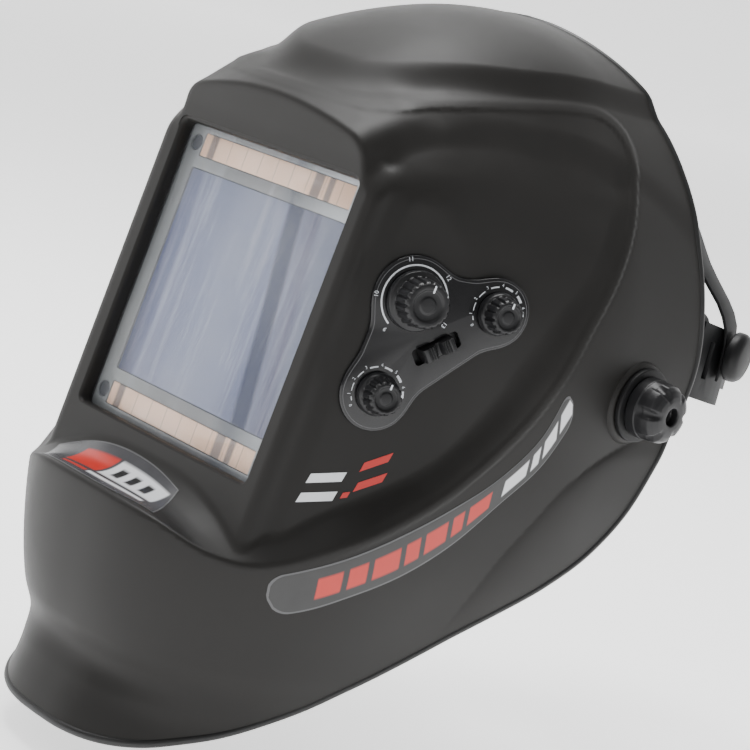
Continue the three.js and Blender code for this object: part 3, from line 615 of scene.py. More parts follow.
def on_circle(middle, radius, angle):
    return (middle[0] + radius * math.cos(angle), middle[1] + radius * math.sin(angle))


def rounded_outline(width, height, radius, steps=6, middle=(0, 0), turn=0.0):
    points = []
    for sx, sy, quarter in ((1, 1, 0), (-1, 1, 1), (-1, -1, 2), (1, -1, 3)):
        for i in range(steps + 1):
            angle = (quarter + i / steps) * math.pi / 2
            u = sx * (width / 2 - radius) + radius * math.cos(angle)
            v = sy * (height / 2 - radius) + radius * math.sin(angle)
            points.append((middle[0] + u * math.cos(turn) - v * math.sin(turn),
                           middle[1] + u * math.sin(turn) + v * math.cos(turn)))
    return points


def facing_window(along, x, up):
    return from_window(x, along, up)


def last_inside(inside, low, high, rounds):
    """Halves the way from low, which is inside, to high, which is not, a number of times."""
    for _ in range(rounds):
        middle = (low + high) / 2
        held = inside(middle)
        low, high = np.where(held, middle, low), np.where(held, high, middle)
    return low


def solve_side(y, z):
    """How far out the shell's surface lies at places in the side view."""
    y, z = np.asarray(y, float), np.asarray(z, float)
    return last_inside(lambda x: surface(x, y, z) < 0, np.zeros_like(y), np.full_like(y, 135.0), 32)


SWITCH_AT = (16.5, -15.0)
SWITCH_LEAN = math.radians(43)
DIALS = {"shade": (0.0, 0.0), "sensitivity": (-1.0, -40.0), "delay": (36.0, 6.7)}


def make_shell(material, rim_material):
    outer = surface_net("hood_shell", closed_surface, 1.7)
    inner = surface_net("hood_inside", lambda x, y, z: closed_surface(x, y, z) + WALL, 3.4)
    boolean(outer, inner)
    line = smooth_line(RIM, 170)
    outline = [tuple(p) for p in line] + [(-215, 170)]
    space = extruded("rim_space", outline, lambda along, y, z: (along, y, z), -140, 140)
    boolean(outer, space, operation="INTERSECT")
    ledge = extruded("lens_ledge", rounded_outline(121, 139, 6), facing_window, 2.0, 5.4)
    boolean(outer, ledge, operation="UNION")
    rings = []
    for back, grow in WINDOW_EDGE:
        outline = rounded_outline(WINDOW_WIDE + grow, WINDOW_HIGH + grow, 3 + grow / 2)
        rings.append([facing_window(back, u, v) for u, v in outline])
    cutters = [rings_to_mesh("window_cut", rings)]
    for back, up in DIALS.values():
        cutters.append(turned("dial_cut", [(-14, 4.6), (6, 4.6)], on_panel(back, up), 24))
    slot = rounded_outline(22, 8, 3, 4, SWITCH_AT, SWITCH_LEAN)
    cutters.append(extruded("switch_cut", slot, from_panel, -14, 6))
    cutters.append(turned("pivot_cut", [(-125, 5), (125, 5)], along_x(1), 48))
    boolean(outer, *cutters)
    set_field_normals(outer)
    profile = [(111, 0), (111, 19.5), (113.6, 18.6), (115.5, 17.2), (115.5, 5.2), (112, 5.2)]
    for side, tag in ((1, "left"), (-1, "right")):
        boss = turned(f"pivot_boss_{tag}", profile, along_x(side), 72, 0, 1.0, False)
        finish(boss, material, "hood")
    finish(make_rim_bead(line), rim_material, "hood")
    finish(outer, material, "hood", "shell")


def set_field_normals(obj):
    """Shades the moulded faces by the surface itself, and the cut edges as flat."""
    mesh = obj.data
    mesh.shade_smooth()
    co = read(mesh.vertices, "co", 3) / MM
    value = closed_surface(*co.T)
    slope = gradient(closed_surface, co, 0.6)
    slope /= np.linalg.norm(slope, axis=1, keepdims=True) + 1e-9
    loops = read(mesh.loops, "vertex_index", kind=int)
    flat = np.repeat(read(mesh.polygons, "normal", 3), read(mesh.polygons, "loop_total", kind=int), axis=0)
    own = slope[loops]
    agree = (flat * own).sum(axis=1)
    near_out = np.abs(value[loops]) < 0.08
    near_in = np.abs(value[loops] + WALL) < 0.3
    normal = flat.copy()
    pick = near_out & (agree > 0.55)
    normal[pick] = own[pick]
    pick = near_in & (agree < -0.55)
    normal[pick] = -own[pick]
    mesh.normals_split_custom_set([tuple(n) for n in normal])


def make_rim_bead(line):
    y, z = line.T
    inside = surface(0 * y, y, z) < -0.5
    y, z = y[inside], z[inside]
    x = solve_side(y, z)
    ends = []
    for here, beyond in ((0, -1), (-1, 1)):
        pick = np.flatnonzero(inside)[here]
        edge = last_inside(lambda at: surface(0.0, *at) < 0, line[pick], line[pick + beyond], 30)
        ends.append((0.0, *edge))
    left = np.stack([x, y, z], 1)
    left = np.concatenate([[ends[0]], left, [ends[1]]])
    left = smooth_line(left, 240)
    right = left[::-1][1:-1] * (-1, 1, 1)
    path = np.concatenate([left, right])
    along = np.roll(path, -1, axis=0) - np.roll(path, 1, axis=0)
    along /= np.linalg.norm(along, axis=1, keepdims=True)
    out = gradient(surface, path, 0.8)
    out -= (out * along).sum(axis=1, keepdims=True) * along
    out /= np.linalg.norm(out, axis=1, keepdims=True)
    away = np.cross(along, out)
    middle = path - out * 1.4
    count = 14
    rings = []
    for k in range(len(path)):
        ring = []
        for t in np.arange(count) / count * 2 * np.pi:
            ring.append(middle[k] + out[k] * 2.25 * math.cos(t) + away[k] * 2.0 * math.sin(t))
        rings.append(ring)
    obj = rings_to_mesh("hood_rim_bead", rings, False)
    last = len(path) - 1
    mesh = obj.data
    points = read(mesh.vertices, "co", 3) / MM
    faces = [tuple(p.vertices) for p in mesh.polygons]
    faces += [(last * count + j, last * count + (j + 1) % count, (j + 1) % count, j) for j in range(count)]
    bpy.data.objects.remove(obj)
    return outward(to_mesh("hood_rim_bead", points, faces))


# ------------------------------------------------------------------ controls on the side panel


def panel_outline(grow=0.0):
    """The control plate's edge: three discs joined by straight webs."""
    discs = [(*DIALS["shade"], 18.0), (*DIALS["sensitivity"], 15.0), (*DIALS["delay"], 14.0)]
    webs = [(0, 1, 13.2), (0, 2, 11.8), (1, 2, 10.4)]
    middle = (9, -12)

    def distance(u, v):
        parts = [math.hypot(u - a, v - b) - r for a, b, r in discs]
        for first, second, r in webs:
            a, b, _ = discs[first]
            c, d, _ = discs[second]
            length = (c - a) ** 2 + (d - b) ** 2
            t = min(max(((u - a) * (c - a) + (v - b) * (d - b)) / length, 0), 1)
            parts.append(math.hypot(u - a - t * (c - a), v - b - t * (d - b)) - r)
        value = parts[0]
        for other in parts[1:]:
            h = min(max(0.5 + 0.5 * (other - value) / 5.0, 0), 1)
            value = other + (value - other) * h - 5.0 * h * (1 - h)
        return value + grow

    points = []
    for t in np.arange(180) / 180 * 2 * np.pi:
        reach = last_inside(lambda r: distance(*on_circle(middle, r, t)) < 0, 0.0, 60.0, 26)
        points.append(on_circle(middle, reach, t))
    return points


def raised_plate(name, outlines, heights, place):
    return rings_to_mesh(name, [[place(h, u, v) for u, v in o] for o, h in zip(outlines, heights)])


def band_on_plate(name, points_in, points_out, low, high, place, closed):
    """A thin flat band between two lines of equal length."""
    rings = []
    for (a, b), (c, d) in zip(points_in, points_out):
        rings.append([place(low, a, b), place(low, c, d), place(high, c, d), place(high, a, b)])
    if not closed:
        return rings_to_mesh(name, rings)
    rings = np.array(rings)
    points = rings.reshape(-1, 3)
    total = len(rings)
    faces = []
    for i in range(total):
        n = (i + 1) % total
        faces += [(i * 4 + j, i * 4 + (j + 1) % 4, n * 4 + (j + 1) % 4, n * 4 + j) for j in range(4)]
    return outward(to_mesh(name, points, faces, smooth=False))


def arc_marks(name, middle, inner, outer, spans):
    """Printed arcs: each span is (from, to) in degrees, with an extra width after them if it is wider."""
    parts = []
    for span in spans:
        start, end = math.radians(span[0]), math.radians(span[1])
        grow = span[2] if len(span) > 2 else 0.0
        count = max(3, int(abs(span[1] - span[0]) / 4) + 2)
        inside, outside = [], []
        for i in range(count):
            t = start + (end - start) * i / (count - 1)
            inside.append(on_circle(middle, inner, t))
            outside.append(on_circle(middle, outer + grow, t))
        parts.append(band_on_plate(name, inside, outside, *PRINT, from_panel, False))
    return join(name, parts)


def join(name, parts):
    points, faces = [], []
    for part in parts:
        start = len(points)
        points += list(read(part.data.vertices, "co", 3) / MM)
        faces += [tuple(i + start for i in p.vertices) for p in part.data.polygons]
        bpy.data.objects.remove(part)
    return to_mesh(name, points, faces, smooth=False)


def numeral(text, size, middle, turn):
    """Printed numerals on the control plate."""
    letters = setting(bpy.data.curves.new("numeral", "FONT"), body=text, size=size, align_x="CENTER",
                      align_y="CENTER", resolution_u=2)
    obj = bpy.data.objects.new("numeral", letters)
    bpy.context.scene.collection.objects.link(obj)
    mesh = final_mesh(obj)
    bpy.data.objects.remove(obj)
    points = []
    for vertex in mesh.vertices:
        u = vertex.co.x * math.cos(turn) - vertex.co.y * math.sin(turn) + middle[0]
        v = vertex.co.x * math.sin(turn) + vertex.co.y * math.cos(turn) + middle[1]
        points.append(from_panel(PRINT[1], u, v))
    faces = [tuple(p.vertices) for p in mesh.polygons]
    return to_mesh("numeral", points, faces, smooth=False)


def dial_numerals(middle, radius, size, marks):
    parts = []
    for text, degrees in marks:
        t = math.radians(degrees)
        parts.append(numeral(text, size, on_circle(middle, radius, t), t - math.pi / 2))
    return parts


def knob_profile(skirt, cap, base, height, depth):
    top = base + height
    return [(base - 8, 0), (base - 8, 2.9), (base - 0.1, 2.9), (base, skirt - 0.3), (base + 1.6, skirt),
            (base + 3.2, skirt - 0.5), (base + 3.6, cap + 0.7), (base + 4.2, cap, depth),
            (base + height * 0.7, cap - 0.25, depth), (top - 1.2, cap - 0.5, depth),
            (top, cap - 1.5, depth * 0.4), (top, cap * 0.66), (top - 0.9, cap * 0.6),
            (top - 1.0, cap * 0.36), (top - 0.5, cap * 0.3), (top - 0.5, 0)]


def make_controls(gloss, print_white, edge_line, knob_black):
    plate = raised_plate("control_plate", [panel_outline(g) for g in (0, 0, 0.15, 0.5, 0.9)],
                         (0.3, 1.15, 1.45, 1.62, 1.7), from_panel)
    plate_cut = extruded("slot", rounded_outline(21, 7, 1.6, 4, SWITCH_AT, SWITCH_LEAN), from_panel, -1, 4)
    cutters = [plate_cut]
    for back, up in DIALS.values():
        cutters.append(turned("dial_hole", [(-1, 3.6), (4, 3.6)], on_panel(back, up), 32))
    boolean(plate, *cutters)
    soften(plate, 40)
    finish(plate, gloss, "hood", "control_fascia")
    line = band_on_plate("control_plate_line", panel_outline(1.5), panel_outline(1.22),
                         1.62, 1.74, from_panel, True)
    finish(line, edge_line, "hood")
    well = rounded_outline(21.8, 7.8, 2.4, 4, SWITCH_AT, SWITCH_LEAN)
    finish(extruded("switch_well", well, from_panel, -3.4, -2.4), knob_black, "hood")

    marks = [arc_marks("marks", DIALS["shade"], 13.8, 14.5, [(240, -10)])]
    shades = [("9", 243), ("10", 190), ("11", 118), ("12", 52), ("13", -18)]
    marks += dial_numerals(DIALS["shade"], 16.6, 2.6, shades)
    small = [(213, 204), (192, 174, 0.0), (160, 142, 0.1), (127, 108, 0.25), (93, 74, 0.45),
             (59, 42, 0.7), (22, 8, 0.9)]
    digits = [("0", 222), ("1", 198), ("2", 167), ("3", 134), ("4", 100), ("5", 66), ("6", 30)]
    for dial in ("sensitivity", "delay"):
        marks.append(arc_marks("marks", DIALS[dial], 10.5, 10.85, small))
        marks += dial_numerals(DIALS[dial], 11.6, 1.9, digits)
    finish(join("control_marks", marks), print_white, "hood")

    for dial, body, skirt, cap, height, flutes in (("shade", "shade_dial", 12.5, 10.0, 14.5, 18),
                                                   ("sensitivity", "sensitivity_dial", 9.0, 7.5, 11.5, 14),
                                                   ("delay", "delay_dial", 9.0, 7.5, 11.5, 14)):
        profile = knob_profile(skirt, cap, 2.0, height, 0.75)
        knob = turned(dial + "_knob_finished", profile, on_panel(*DIALS[dial]), flutes * 8, flutes)
        soften(knob, 42)
        finish(knob, knob_black, body, dial + "_knob")
        reach = cap - 0.75
        pointer = extruded(dial + "_pointer", rounded_outline(0.7, reach * 0.34, 0.3, 3, (0, reach * 0.74)),
                           on_panel(*DIALS[dial]), 1.8 + height, 2.16 + height)
        finish(pointer, print_white, body)
    make_mode_switch(knob_black)


def make_mode_switch(material):
    """A ribbed rocker with two finger lobes, which slides in the plate's slot."""
    half = [(7.2, -1.6), (7.2, 5.2), (6.6, 6.4), (5.2, 6.9)]
    for at in (4.4, 3.4, 2.4):
        half += [(at + 0.15, 6.7), (at, 6.1), (at - 0.35, 6.1), (at - 0.5, 6.6)]
    half += [(1.5, 5.9), (0.7, 3.6)]
    mirrored = [(-across, out) for across, out in reversed(half)]
    profile = mirrored[-1:] + half + mirrored[:-1]

    def place(across, along, out):
        u = SWITCH_AT[0] + along * math.cos(SWITCH_LEAN) - across * math.sin(SWITCH_LEAN)
        v = SWITCH_AT[1] + along * math.sin(SWITCH_LEAN) + across * math.cos(SWITCH_LEAN)
        return from_panel(out, u, v)

    switch = extruded("mode_switch_finished", profile, place, -2.8, 2.8)
    rounded_edges(switch, 0.28, 2, 25)
    finish(switch, material, "mode_slider", "mode_switch")


# ------------------------------------------------------------------ printed labels on the shell


def label_material(name, base, bars, gloss):
    """A laminated label: a plain ground with slanted bars, placed by the label's own coordinates.
    The bars are (start, end, low, high, colour), in label heights."""
    m = Maker(name)
    flat = m.node("ShaderNodeUVMap").outputs[0]
    split = m.node("ShaderNodeSeparateXYZ", Vector=flat)
    u, v = split.outputs[0], split.outputs[1]
    cloud = m.noise(70.0, 4.0, 0.6)
    colour = m.ramp(cloud, [(0.3, scaled(base, 0.85)), (0.7, scaled(base, 1.2))])
    slant = m.math("SUBTRACT", u, m.math("MULTIPLY", v, 0.32))

    def within(value, low, high, soft=0.02):
        a = m.spread(value, 0.0, 1.0, low - soft, low + soft)
        b = m.spread(value, 1.0, 0.0, high - soft, high + soft)
        return m.math("MULTIPLY", a, b)

    for start, end, low, high, shade in bars:
        mask = m.math("MULTIPLY", within(slant, start, end), within(v, low, high, 0.03))
        colour = m.mix(mask, colour, shade)
    m.set("Base Color", colour)
    m.set("Roughness", m.spread(cloud, gloss - 0.05, gloss + 0.08))
    m.bump(m.noise(300.0, 2.0, 0.5), 0.05, 0.0001)
    return m.material


def surface_patch(name, spots, uvs, lift, across):
    """A thin skin just over the shell, through a grid of surface points. across is the grid's width."""
    spots = np.array(spots, float)
    for _ in range(3):
        value = surface(*spots.T)
        slope = gradient(surface, spots, 0.4)
        spots = spots - (value / np.maximum((slope ** 2).sum(axis=1), 0.3))[:, None] * slope
    slope = gradient(surface, spots, 0.8)
    slope /= np.linalg.norm(slope, axis=1, keepdims=True)
    top = spots + slope * lift
    rows = len(spots) // across
    faces = []
    for i in range(rows - 1):
        for j in range(across - 1):
            a = i * across + j
            faces.append((a, a + 1, a + across + 1, a + across))
    obj = to_mesh(name, top, faces)
    middle = len(faces) // 2
    face = obj.data.polygons[middle]
    if np.dot(np.array(face.normal), slope[face.vertices[0]]) < 0:
        obj.data.flip_normals()
    layer = obj.data.uv_layers.new(name="flat")
    for loop in obj.data.loops:
        layer.data[loop.index].uv = uvs[loop.vertex_index]
    modify(obj, "SOLIDIFY", thickness=lift * 0.9 * MM, offset=-1)
    apply_modifiers(obj)
    return soften(obj, 40)


SIDE_LABEL_LOW = [(-150, -105.7), (-139.6, -102), (-122, -93), (-102.7, -82.5), (-83, -68), (-64, -48),
                  (-48, -30.6), (-37, -8)]
SIDE_LABEL_HIGH = [(-157.7, -89.5), (-146, -84), (-129, -75.6), (-110, -65), (-89, -52), (-68, -36.6),
                   (-53, -19), (-45, 4.7)]


def side_label_points(columns, rows, shrink=0.0):
    low = smooth_line([(*p, 0.0) for p in SIDE_LABEL_LOW], columns)[:, :2]
    high = smooth_line([(*p, 0.0) for p in SIDE_LABEL_HIGH], columns)[:, :2]
    length = np.linalg.norm(np.diff((low + high) / 2, axis=0), axis=1).sum()
    height = np.linalg.norm(high - low, axis=1).mean()
    along = np.linspace(shrink, length - shrink, columns)
    reach = height / 2 - shrink
    radius = min(reach, 7.0)
    points, uvs = [], []
    for s in along:
        near = min(s - shrink, length - shrink - s)
        cut = radius - math.sqrt(max(radius ** 2 - max(radius - near, 0) ** 2, 0)) if near < radius else 0.0
        half = max(reach - cut, 0.05)
        at = s / length * (columns - 1)
        i = min(int(at), columns - 2)
        f = at - i
        a, b = low[i] * (1 - f) + low[i + 1] * f, high[i] * (1 - f) + high[i + 1] * f
        for j in range(rows):
            t = 0.5 + (j / (rows - 1) * 2 - 1) * half / height
            points.append(a * (1 - t) + b * t)
            uvs.append((s / height, t))
    return np.array(points), uvs


def make_labels():
    red, white = (0.55, 0.03, 0.02, 1), (0.75, 0.76, 0.78, 1)
    pale = moulded("label_border", (0.09, 0.09, 0.093), 0.34, strength=0.03)
    bars = []
    at = 0.95
    for colour, gap, widths in ((red, 0.28, (0.62, 0.5, 0.75, 0.42, 0.68, 0.36, 0.74)),
                                (white, 0.25, (0.85, 0.3, 0.62, 0.7)),
                                (white, 0.0, (0.6, 0.66, 0.5, 0.55, 0.28, 0.7, 0.6))):
        for width in widths:
            bars.append((at, at + width, 0.25, 0.72, colour))
            at += width + 0.17
        at += gap
    ground = label_material("side_label", (0.022, 0.022, 0.022), bars, 0.34)
    layers = (("side_label_border", 0.0, 0.12, pale), ("side_label", 0.7, 0.2, ground))
    for name, shrink, lift, material in layers:
        flat, uvs = side_label_points(120, 13, shrink)
        x = solve_side(flat[:, 0], flat[:, 1])
        spots = np.stack([x, flat[:, 0], flat[:, 1]], 1)
        finish(surface_patch(name, spots, uvs, lift, 13), material, "hood")

    rear = [(-52, -168, 0), (-38, -165, 0), (-17, -163.5, 0), (4, -164, 0), (27, -167, 0)]
    front = [(-43, -184, 0), (-26, -188, 0), (-8, -189.8, 0), (14, -189.2, 0), (35, -185, 0)]
    rear, front = smooth_line(rear, 49), smooth_line(front, 49)
    dark = (0.02, 0.02, 0.02, 1)
    badge = [(0.5, 1.35, 0.30, 0.80, red), (1.42, 2.75, 0.30, 0.80, white),
             (1.6, 1.78, 0.42, 0.68, dark), (1.95, 2.13, 0.42, 0.68, dark), (2.3, 2.48, 0.42, 0.68, dark),
             (0.62, 1.3, 0.12, 0.2, red), (1.36, 2.7, 0.12, 0.2, white)]
    ground = label_material("front_label", (0.055, 0.055, 0.06), badge, 0.22)
    layers = (("front_label_border", 0.0, 0.14, pale), ("front_label", 0.03, 0.22, ground))
    for name, inset, lift, material in layers:
        spots, uvs = [], []
        for i in range(49):
            for j in range(13):
                t = inset * 0.8 + (1 - inset * 1.6) * j / 12
                s = inset * 0.35 + (1 - inset * 0.7) * i / 48
                k = min(int(s * 48), 47)
                f = s * 48 - k
                a, b = rear[k] * (1 - f) + rear[k + 1] * f, front[k] * (1 - f) + front[k + 1] * f
                spots.append(a * (1 - t) + b * t)
                uvs.append((s * 3.1, 1 - t))
        spots = np.array(spots)
        low, high = np.full(len(spots), -110.0), np.full(len(spots), -50.0)
        spots[:, 2] = last_inside(lambda z: surface(*spots[:, :2].T, z) < 0, low, high, 26)
        finish(surface_patch(name, spots, uvs, lift, 13), material, "hood")

    ink_white = moulded("ink_white", (0.72, 0.74, 0.76), 0.4, strength=0.02)
    ink_red = moulded("ink_red", (0.50, 0.02, 0.015), 0.4, strength=0.02)
    strips = [("panel_bar_1", (-16, -91.5), (-1.5, -86.5), 4.2, ink_white),
              ("panel_bar_2", (-15.0, -83.0), (-0.7, -78.0), 4.2, ink_white),
              ("panel_dot", (1.2, -84.6), (4.0, -83.4), 2.6, ink_red),
              ("panel_bar_3", (5.5, -80.5), (16, -73), 4.2, ink_red),
              ("panel_bar_4", (5.0, -72), (15.3, -64.5), 4.2, ink_red)]
    for name, start, end, wide, material in strips:
        start, end = np.array(start), np.array(end)
        across = np.array([0.18, 1.0]) * wide
        spots, uvs = [], []
        for i in range(15):
            for j in range(5):
                u, v = start + (end - start) * i / 14 + across * (j / 4)
                spots.append(from_panel(0.0, u, v))
                uvs.append((i / 14, j / 4))
        spots = np.array(spots)
        spots[:, 0] = solve_side(spots[:, 1], spots[:, 2])
        finish(surface_patch(name, spots, uvs, 0.16, 5), material, "hood")


# ------------------------------------------------------------------ knobs and other solids


def make_knobs(knob_black):
    profile = [(129.4, 0), (129.4, 4.4), (118.6, 4.4), (118.6, 13.2), (119.4, 13.5), (123.4, 13.5),
               (124.0, 13.2, 0.2), (127, 13.1, 0.9), (130.6, 12.6, 1.9), (132.6, 11.2, 2.1),
               (133.7, 9.0, 1.2), (134.0, 6.6, 0.2), (134.0, 4.4), (133.6, 3.9), (130.2, 3.7), (130.0, 0)]
    for side, tag in ((1, "left"), (-1, "right")):
        knob = turned(f"tension_knob_{tag}_finished", profile, along_x(side), 192, 6)
        finish(soften(knob, 42), knob_black, "tension_" + tag[0], f"tension_knob_{tag}")
    profile = [(152.3, 4.6), (152.3, 24.2), (154, 25), (156, 24.6, 1.8), (163, 24.0, 1.8),
               (166.6, 22.8, 1.2), (168.0, 21.0), (168.2, 17.0), (166.4, 15.6), (166.2, 7.0),
               (167.2, 6.0), (167.2, 4.6)]
    rings = turned_rings(profile, lambda a, u, v: (u, a, BAND_Z + v), 216, 18, 0.6)
    knob = rings_to_mesh("ratchet_knob_finished", rings + [rings[0]], False)
    finish(soften(knob, 42), knob_black, "ratchet", "ratchet_knob")


def plain_copy(node):
    """The node's shape with its points joined and its flat faces whole."""
    source = NODES[node].data
    keys, index, points = {}, [], []
    for p in read(source.vertices, "co", 3):
        key = tuple(np.round(p * 50000).astype(int))
        if key not in keys:
            keys[key] = len(points)
            points.append(p / MM)
        index.append(keys[key])
    faces = []
    for polygon in source.polygons:
        corners = [index[i] for i in polygon.vertices]
        if len(set(corners)) == len(corners):
            faces.append(corners)
    obj = to_mesh(node + "_finished", points, faces, smooth=False)
    work = bmesh.new()
    work.from_mesh(obj.data)
    bmesh.ops.dissolve_limit(work, angle_limit=math.radians(0.6), verts=work.verts, edges=work.edges)
    work.to_mesh(obj.data)
    work.free()
    return obj


def finish_nodes(materials, done):
    """Gives each other CAD solid softened edges and its own finish."""
    slots = {part["node"]: part["material_slot"] for part in frame["record"]["subparts"]}
    body_of = {n: b for b, ns in frame["record"]["behaviour"]["bodies"].items() for n in ns}
    widths = {"headband": 0.5, "crown_strap": 0.4, "rear_crown_strap": 0.5, "rear_band_left": 0.5,
              "rear_band_right": 0.5, "ratchet_cover": 1.4, "rear_hub_left": 1.0, "rear_hub_right": 1.0,
              "control_case": 0.8, "control_case_cover": 0.7, "retaining_frame": 0.5,
              "pivot_flange_left": 0.7, "pivot_flange_right": 0.7, "battery_tray": 0.4}
    for node in sorted(slots):
        if node in done:
            continue
        material = materials.get(node) or materials[slots[node]]
        piece = plain_copy(node)
        width = widths.get(node, 0.25)
        rounded_edges(piece, width, 2 if width < 0.4 else 3, 32)
        finish(piece, material, body_of[node], node)


# ------------------------------------------------------------------ window


# Colour across the filter pane: its dark bands and its light and dark steps are painted reflection.
PANE_STOPS = [(0.0, (0.02, 0.03, 0.09)), (0.05, (0.10, 0.11, 0.2)), (0.09, (0.13, 0.145, 0.245)),
              (0.3, (0.16, 0.185, 0.29)), (0.55, (0.185, 0.21, 0.31)), (0.70, (0.13, 0.15, 0.26)),
              (0.72, (0.008, 0.015, 0.065)), (0.785, (0.008, 0.015, 0.065)), (0.805, (0.145, 0.16, 0.25)),
              (0.88, (0.09, 0.09, 0.17)), (0.93, (0.165, 0.185, 0.27))]
# Colour across the cartridge face: its dark band and pale end are painted reflection.
FACE_STOPS = [(0.0, (0.20, 0.21, 0.21)), (0.3, (0.15, 0.155, 0.16)), (0.60, (0.17, 0.17, 0.175)),
              (0.72, (0.07, 0.08, 0.10)), (0.8, (0.19, 0.20, 0.21)), (1.0, (0.42, 0.44, 0.46))]


def window_material(name, stops, roughness, streaks):
    """A coated pane with painted reflection: long soft streaks of reflection that run up and down the
    window, and the dark bands of the colour stops, are drawn into its colour.
    """
    m = Maker(name)
    split = m.node("ShaderNodeSeparateXYZ", Vector=m.place())
    x, z = split.outputs[0], split.outputs[2]
    slant = m.math("ADD", x, m.math("MULTIPLY", z, STREAK_SLANT))
    bend = m.noise(9.0, 2.0, 0.5)
    slant = m.math("ADD", slant, m.math("MULTIPLY", m.math("SUBTRACT", bend, 0.5), 0.010))
    across = m.spread(slant, 0.0, 1.0, -0.052, 0.052)
    colour = m.ramp(across, stops)
    stretch = m.node("ShaderNodeMapping", Vector=m.place(), Scale=(130.0, 10.0, 7.0)).outputs[0]
    # painted reflection: pale streaks mixed into the colour, kept off the dark reflection band
    lines = m.noise(1.0, 5.0, 0.65, stretch)
    band = m.math("ABSOLUTE", m.math("SUBTRACT", across, 0.752))
    reflection_streaks = m.spread(lines, 0.0, streaks, 0.5, 0.78)
    reflection_streaks = m.math("MULTIPLY", reflection_streaks, m.spread(band, 0.15, 1.0, 0.03, 0.06))
    colour = m.mix(reflection_streaks, colour, (0.62, 0.66, 0.76))
    m.set("Base Color", colour)
    m.set("Roughness", m.spread(lines, roughness, roughness + 0.1))
    m.set("Specular IOR Level", 0.22)
    return m.material


def solar_material(name):
    """Amorphous cells: pinkish strips parted by fine lines."""
    m = Maker(name)
    split = m.node("ShaderNodeSeparateXYZ", Vector=m.place())
    x = split.outputs[0]
    cloud = m.noise(25.0, 4.0, 0.6)
    colour = m.ramp(cloud, [(0.3, (0.78, 0.48, 0.31)), (0.7, (0.92, 0.63, 0.46))])
    cell = m.math("FRACT", m.math("MULTIPLY", x, 100.0))
    edge = m.math("ABSOLUTE", m.math("SUBTRACT", cell, 0.5))
    colour = m.mix(m.spread(edge, 0.0, 0.5, 0.46, 0.49), colour, (0.2, 0.13, 0.1))
    for middle, wide in ((0.026, 0.0022), (0.0335, 0.0012), (-0.041, 0.0016)):
        gap = m.math("ABSOLUTE", m.math("SUBTRACT", x, middle))
        colour = m.mix(m.spread(gap, 0.8, 0.0, wide, wide + 0.0012), colour, (0.07, 0.05, 0.05))
    m.set("Base Color", colour)
    m.set("Roughness", m.spread(cloud, 0.2, 0.32))
    m.set("Coat Weight", 0.5)
    return m.material


# ------------------------------------------------------------------ pads


def make_pad(node, body, material, voxel, cap, pressure):
    """A stuffed fabric pad, puffed out from the plain pad by a short cloth run."""
    pad = plain_copy(node)
    pad.name = node + "_fabric"
    modify(pad, "REMESH", mode="VOXEL", voxel_size=voxel * MM)
    apply_modifiers(pad)
    start = read(pad.data.vertices, "co", 3)
    cloth = modify(pad, "CLOTH")
    setting(cloth.settings, quality=6, mass=0.15, tension_stiffness=18, compression_stiffness=12,
            bending_stiffness=0.6, use_pressure=True, uniform_pressure_force=pressure)
    cloth.settings.effector_weights.gravity = 0
    setting(cloth.point_cache, frame_start=1, frame_end=CLOTH_STEPS)
    for step in range(1, CLOTH_STEPS + 1):
        bpy.context.scene.frame_set(step)
    apply_modifiers(pad)
    bpy.context.scene.frame_set(1)
    move = read(pad.data.vertices, "co", 3) - start
    size = np.linalg.norm(move, axis=1, keepdims=True)
    move *= np.minimum(1, cap * MM / np.maximum(size, 1e-9))
    pad.data.vertices.foreach_set("co", (start + move).ravel())
    modify(pad, "CORRECTIVE_SMOOTH", use_only_smooth=True, iterations=3)
    modify(pad, "SUBSURF", levels=1, render_levels=1)
    apply_modifiers(pad)
    pad.data.shade_smooth()
    return finish(pad, material, body, node)


# ------------------------------------------------------------------ scene


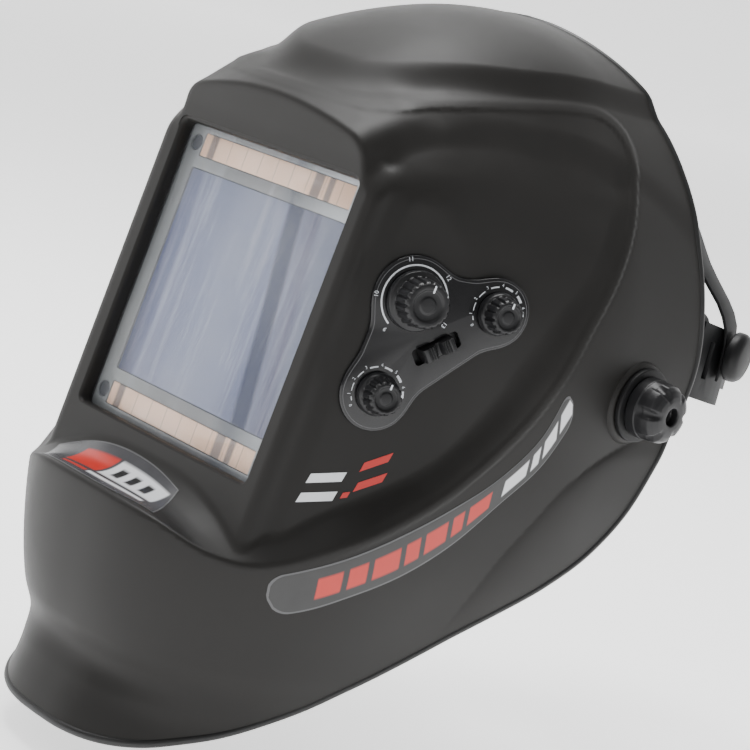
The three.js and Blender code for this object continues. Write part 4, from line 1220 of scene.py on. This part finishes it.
def build():
    add_camera()
    add_studio()
    add_stage()

    shell_black = moulded("shell_black", (0.0158, 0.0150, 0.0140), 0.46, grain=2400.0, strength=0.35,
                          vary=0.1, shine=0.22)
    rim_black = moulded("rim_black", (0.008, 0.008, 0.008), 0.45)
    trim_black = moulded("trim_black", (0.009, 0.009, 0.0095), 0.45, strength=0.15, shine=0.22)
    gloss_black = moulded("gloss_black", (0.010, 0.010, 0.011), 0.16, strength=0.02)
    knob_black = moulded("knob_black", (0.011, 0.011, 0.012), 0.34, grain=1800.0, strength=0.06, shine=0.35)
    pane = window_material("filter_pane", PANE_STOPS, 0.08, 0.42)
    face = window_material("cartridge_face", FACE_STOPS, 0.14, 0.2)
    materials = {
        "shell_black": shell_black,
        "trim_black": trim_black,
        "gloss_black": gloss_black,
        "band_grey": moulded("band_grey", (0.009, 0.0092, 0.0098), 0.5, strength=0.12, shine=0.18),
        "pale_grey": moulded("pale_grey", (0.33, 0.335, 0.35), 0.55, strength=0.1),
        "black_rubber": moulded("black_rubber", (0.012, 0.012, 0.012), 0.85, grain=900.0, strength=0.3),
        "pad_fabric": knitted("pad_fabric", (0.035, 0.036, 0.040)),
        "solar_copper": solar_material("solar_copper"),
        "sensor_dark": moulded("sensor_dark", (0.02, 0.022, 0.03), 0.12, strength=0.01),
        "clear_lens": lens_clear("clear_lens"),
        "filter_glass": moulded("filter_glass", (0.05, 0.07, 0.16), 0.08, strength=0.01),
        "steel": metal("steel", (0.55, 0.56, 0.57), 0.32),
        "spring_steel": metal("spring_steel", (0.35, 0.36, 0.38), 0.3),
        "uv_filter_glass": pane,
        "cartridge_front": face,
    }
    nylon_dark = moulded("nylon_dark", (0.04, 0.041, 0.044), 0.5, strength=0.1)
    materials["rack_left"] = materials["rack_right"] = nylon_dark
    make_shell(shell_black, rim_black)
    make_controls(gloss_black, moulded("print_white", (0.75, 0.78, 0.82), 0.4, strength=0.02),
                  moulded("plate_line", (0.10, 0.10, 0.105), 0.2, strength=0.02), knob_black)
    make_labels()
    make_knobs(knob_black)
    pads = knitted("pad_cover", (0.03, 0.031, 0.034))
    make_pad("sweatband", "headgear", pads, 2.4, 3.0, 4.0)
    make_pad("rear_pad", "headgear", pads, 2.4, 3.0, 4.0)
    finish_nodes(materials, {"shell", "control_fascia", "shade_knob", "sensitivity_knob", "delay_knob",
                             "mode_switch", "tension_knob_left", "tension_knob_right", "ratchet_knob",
                             "sweatband", "rear_pad"})


build()
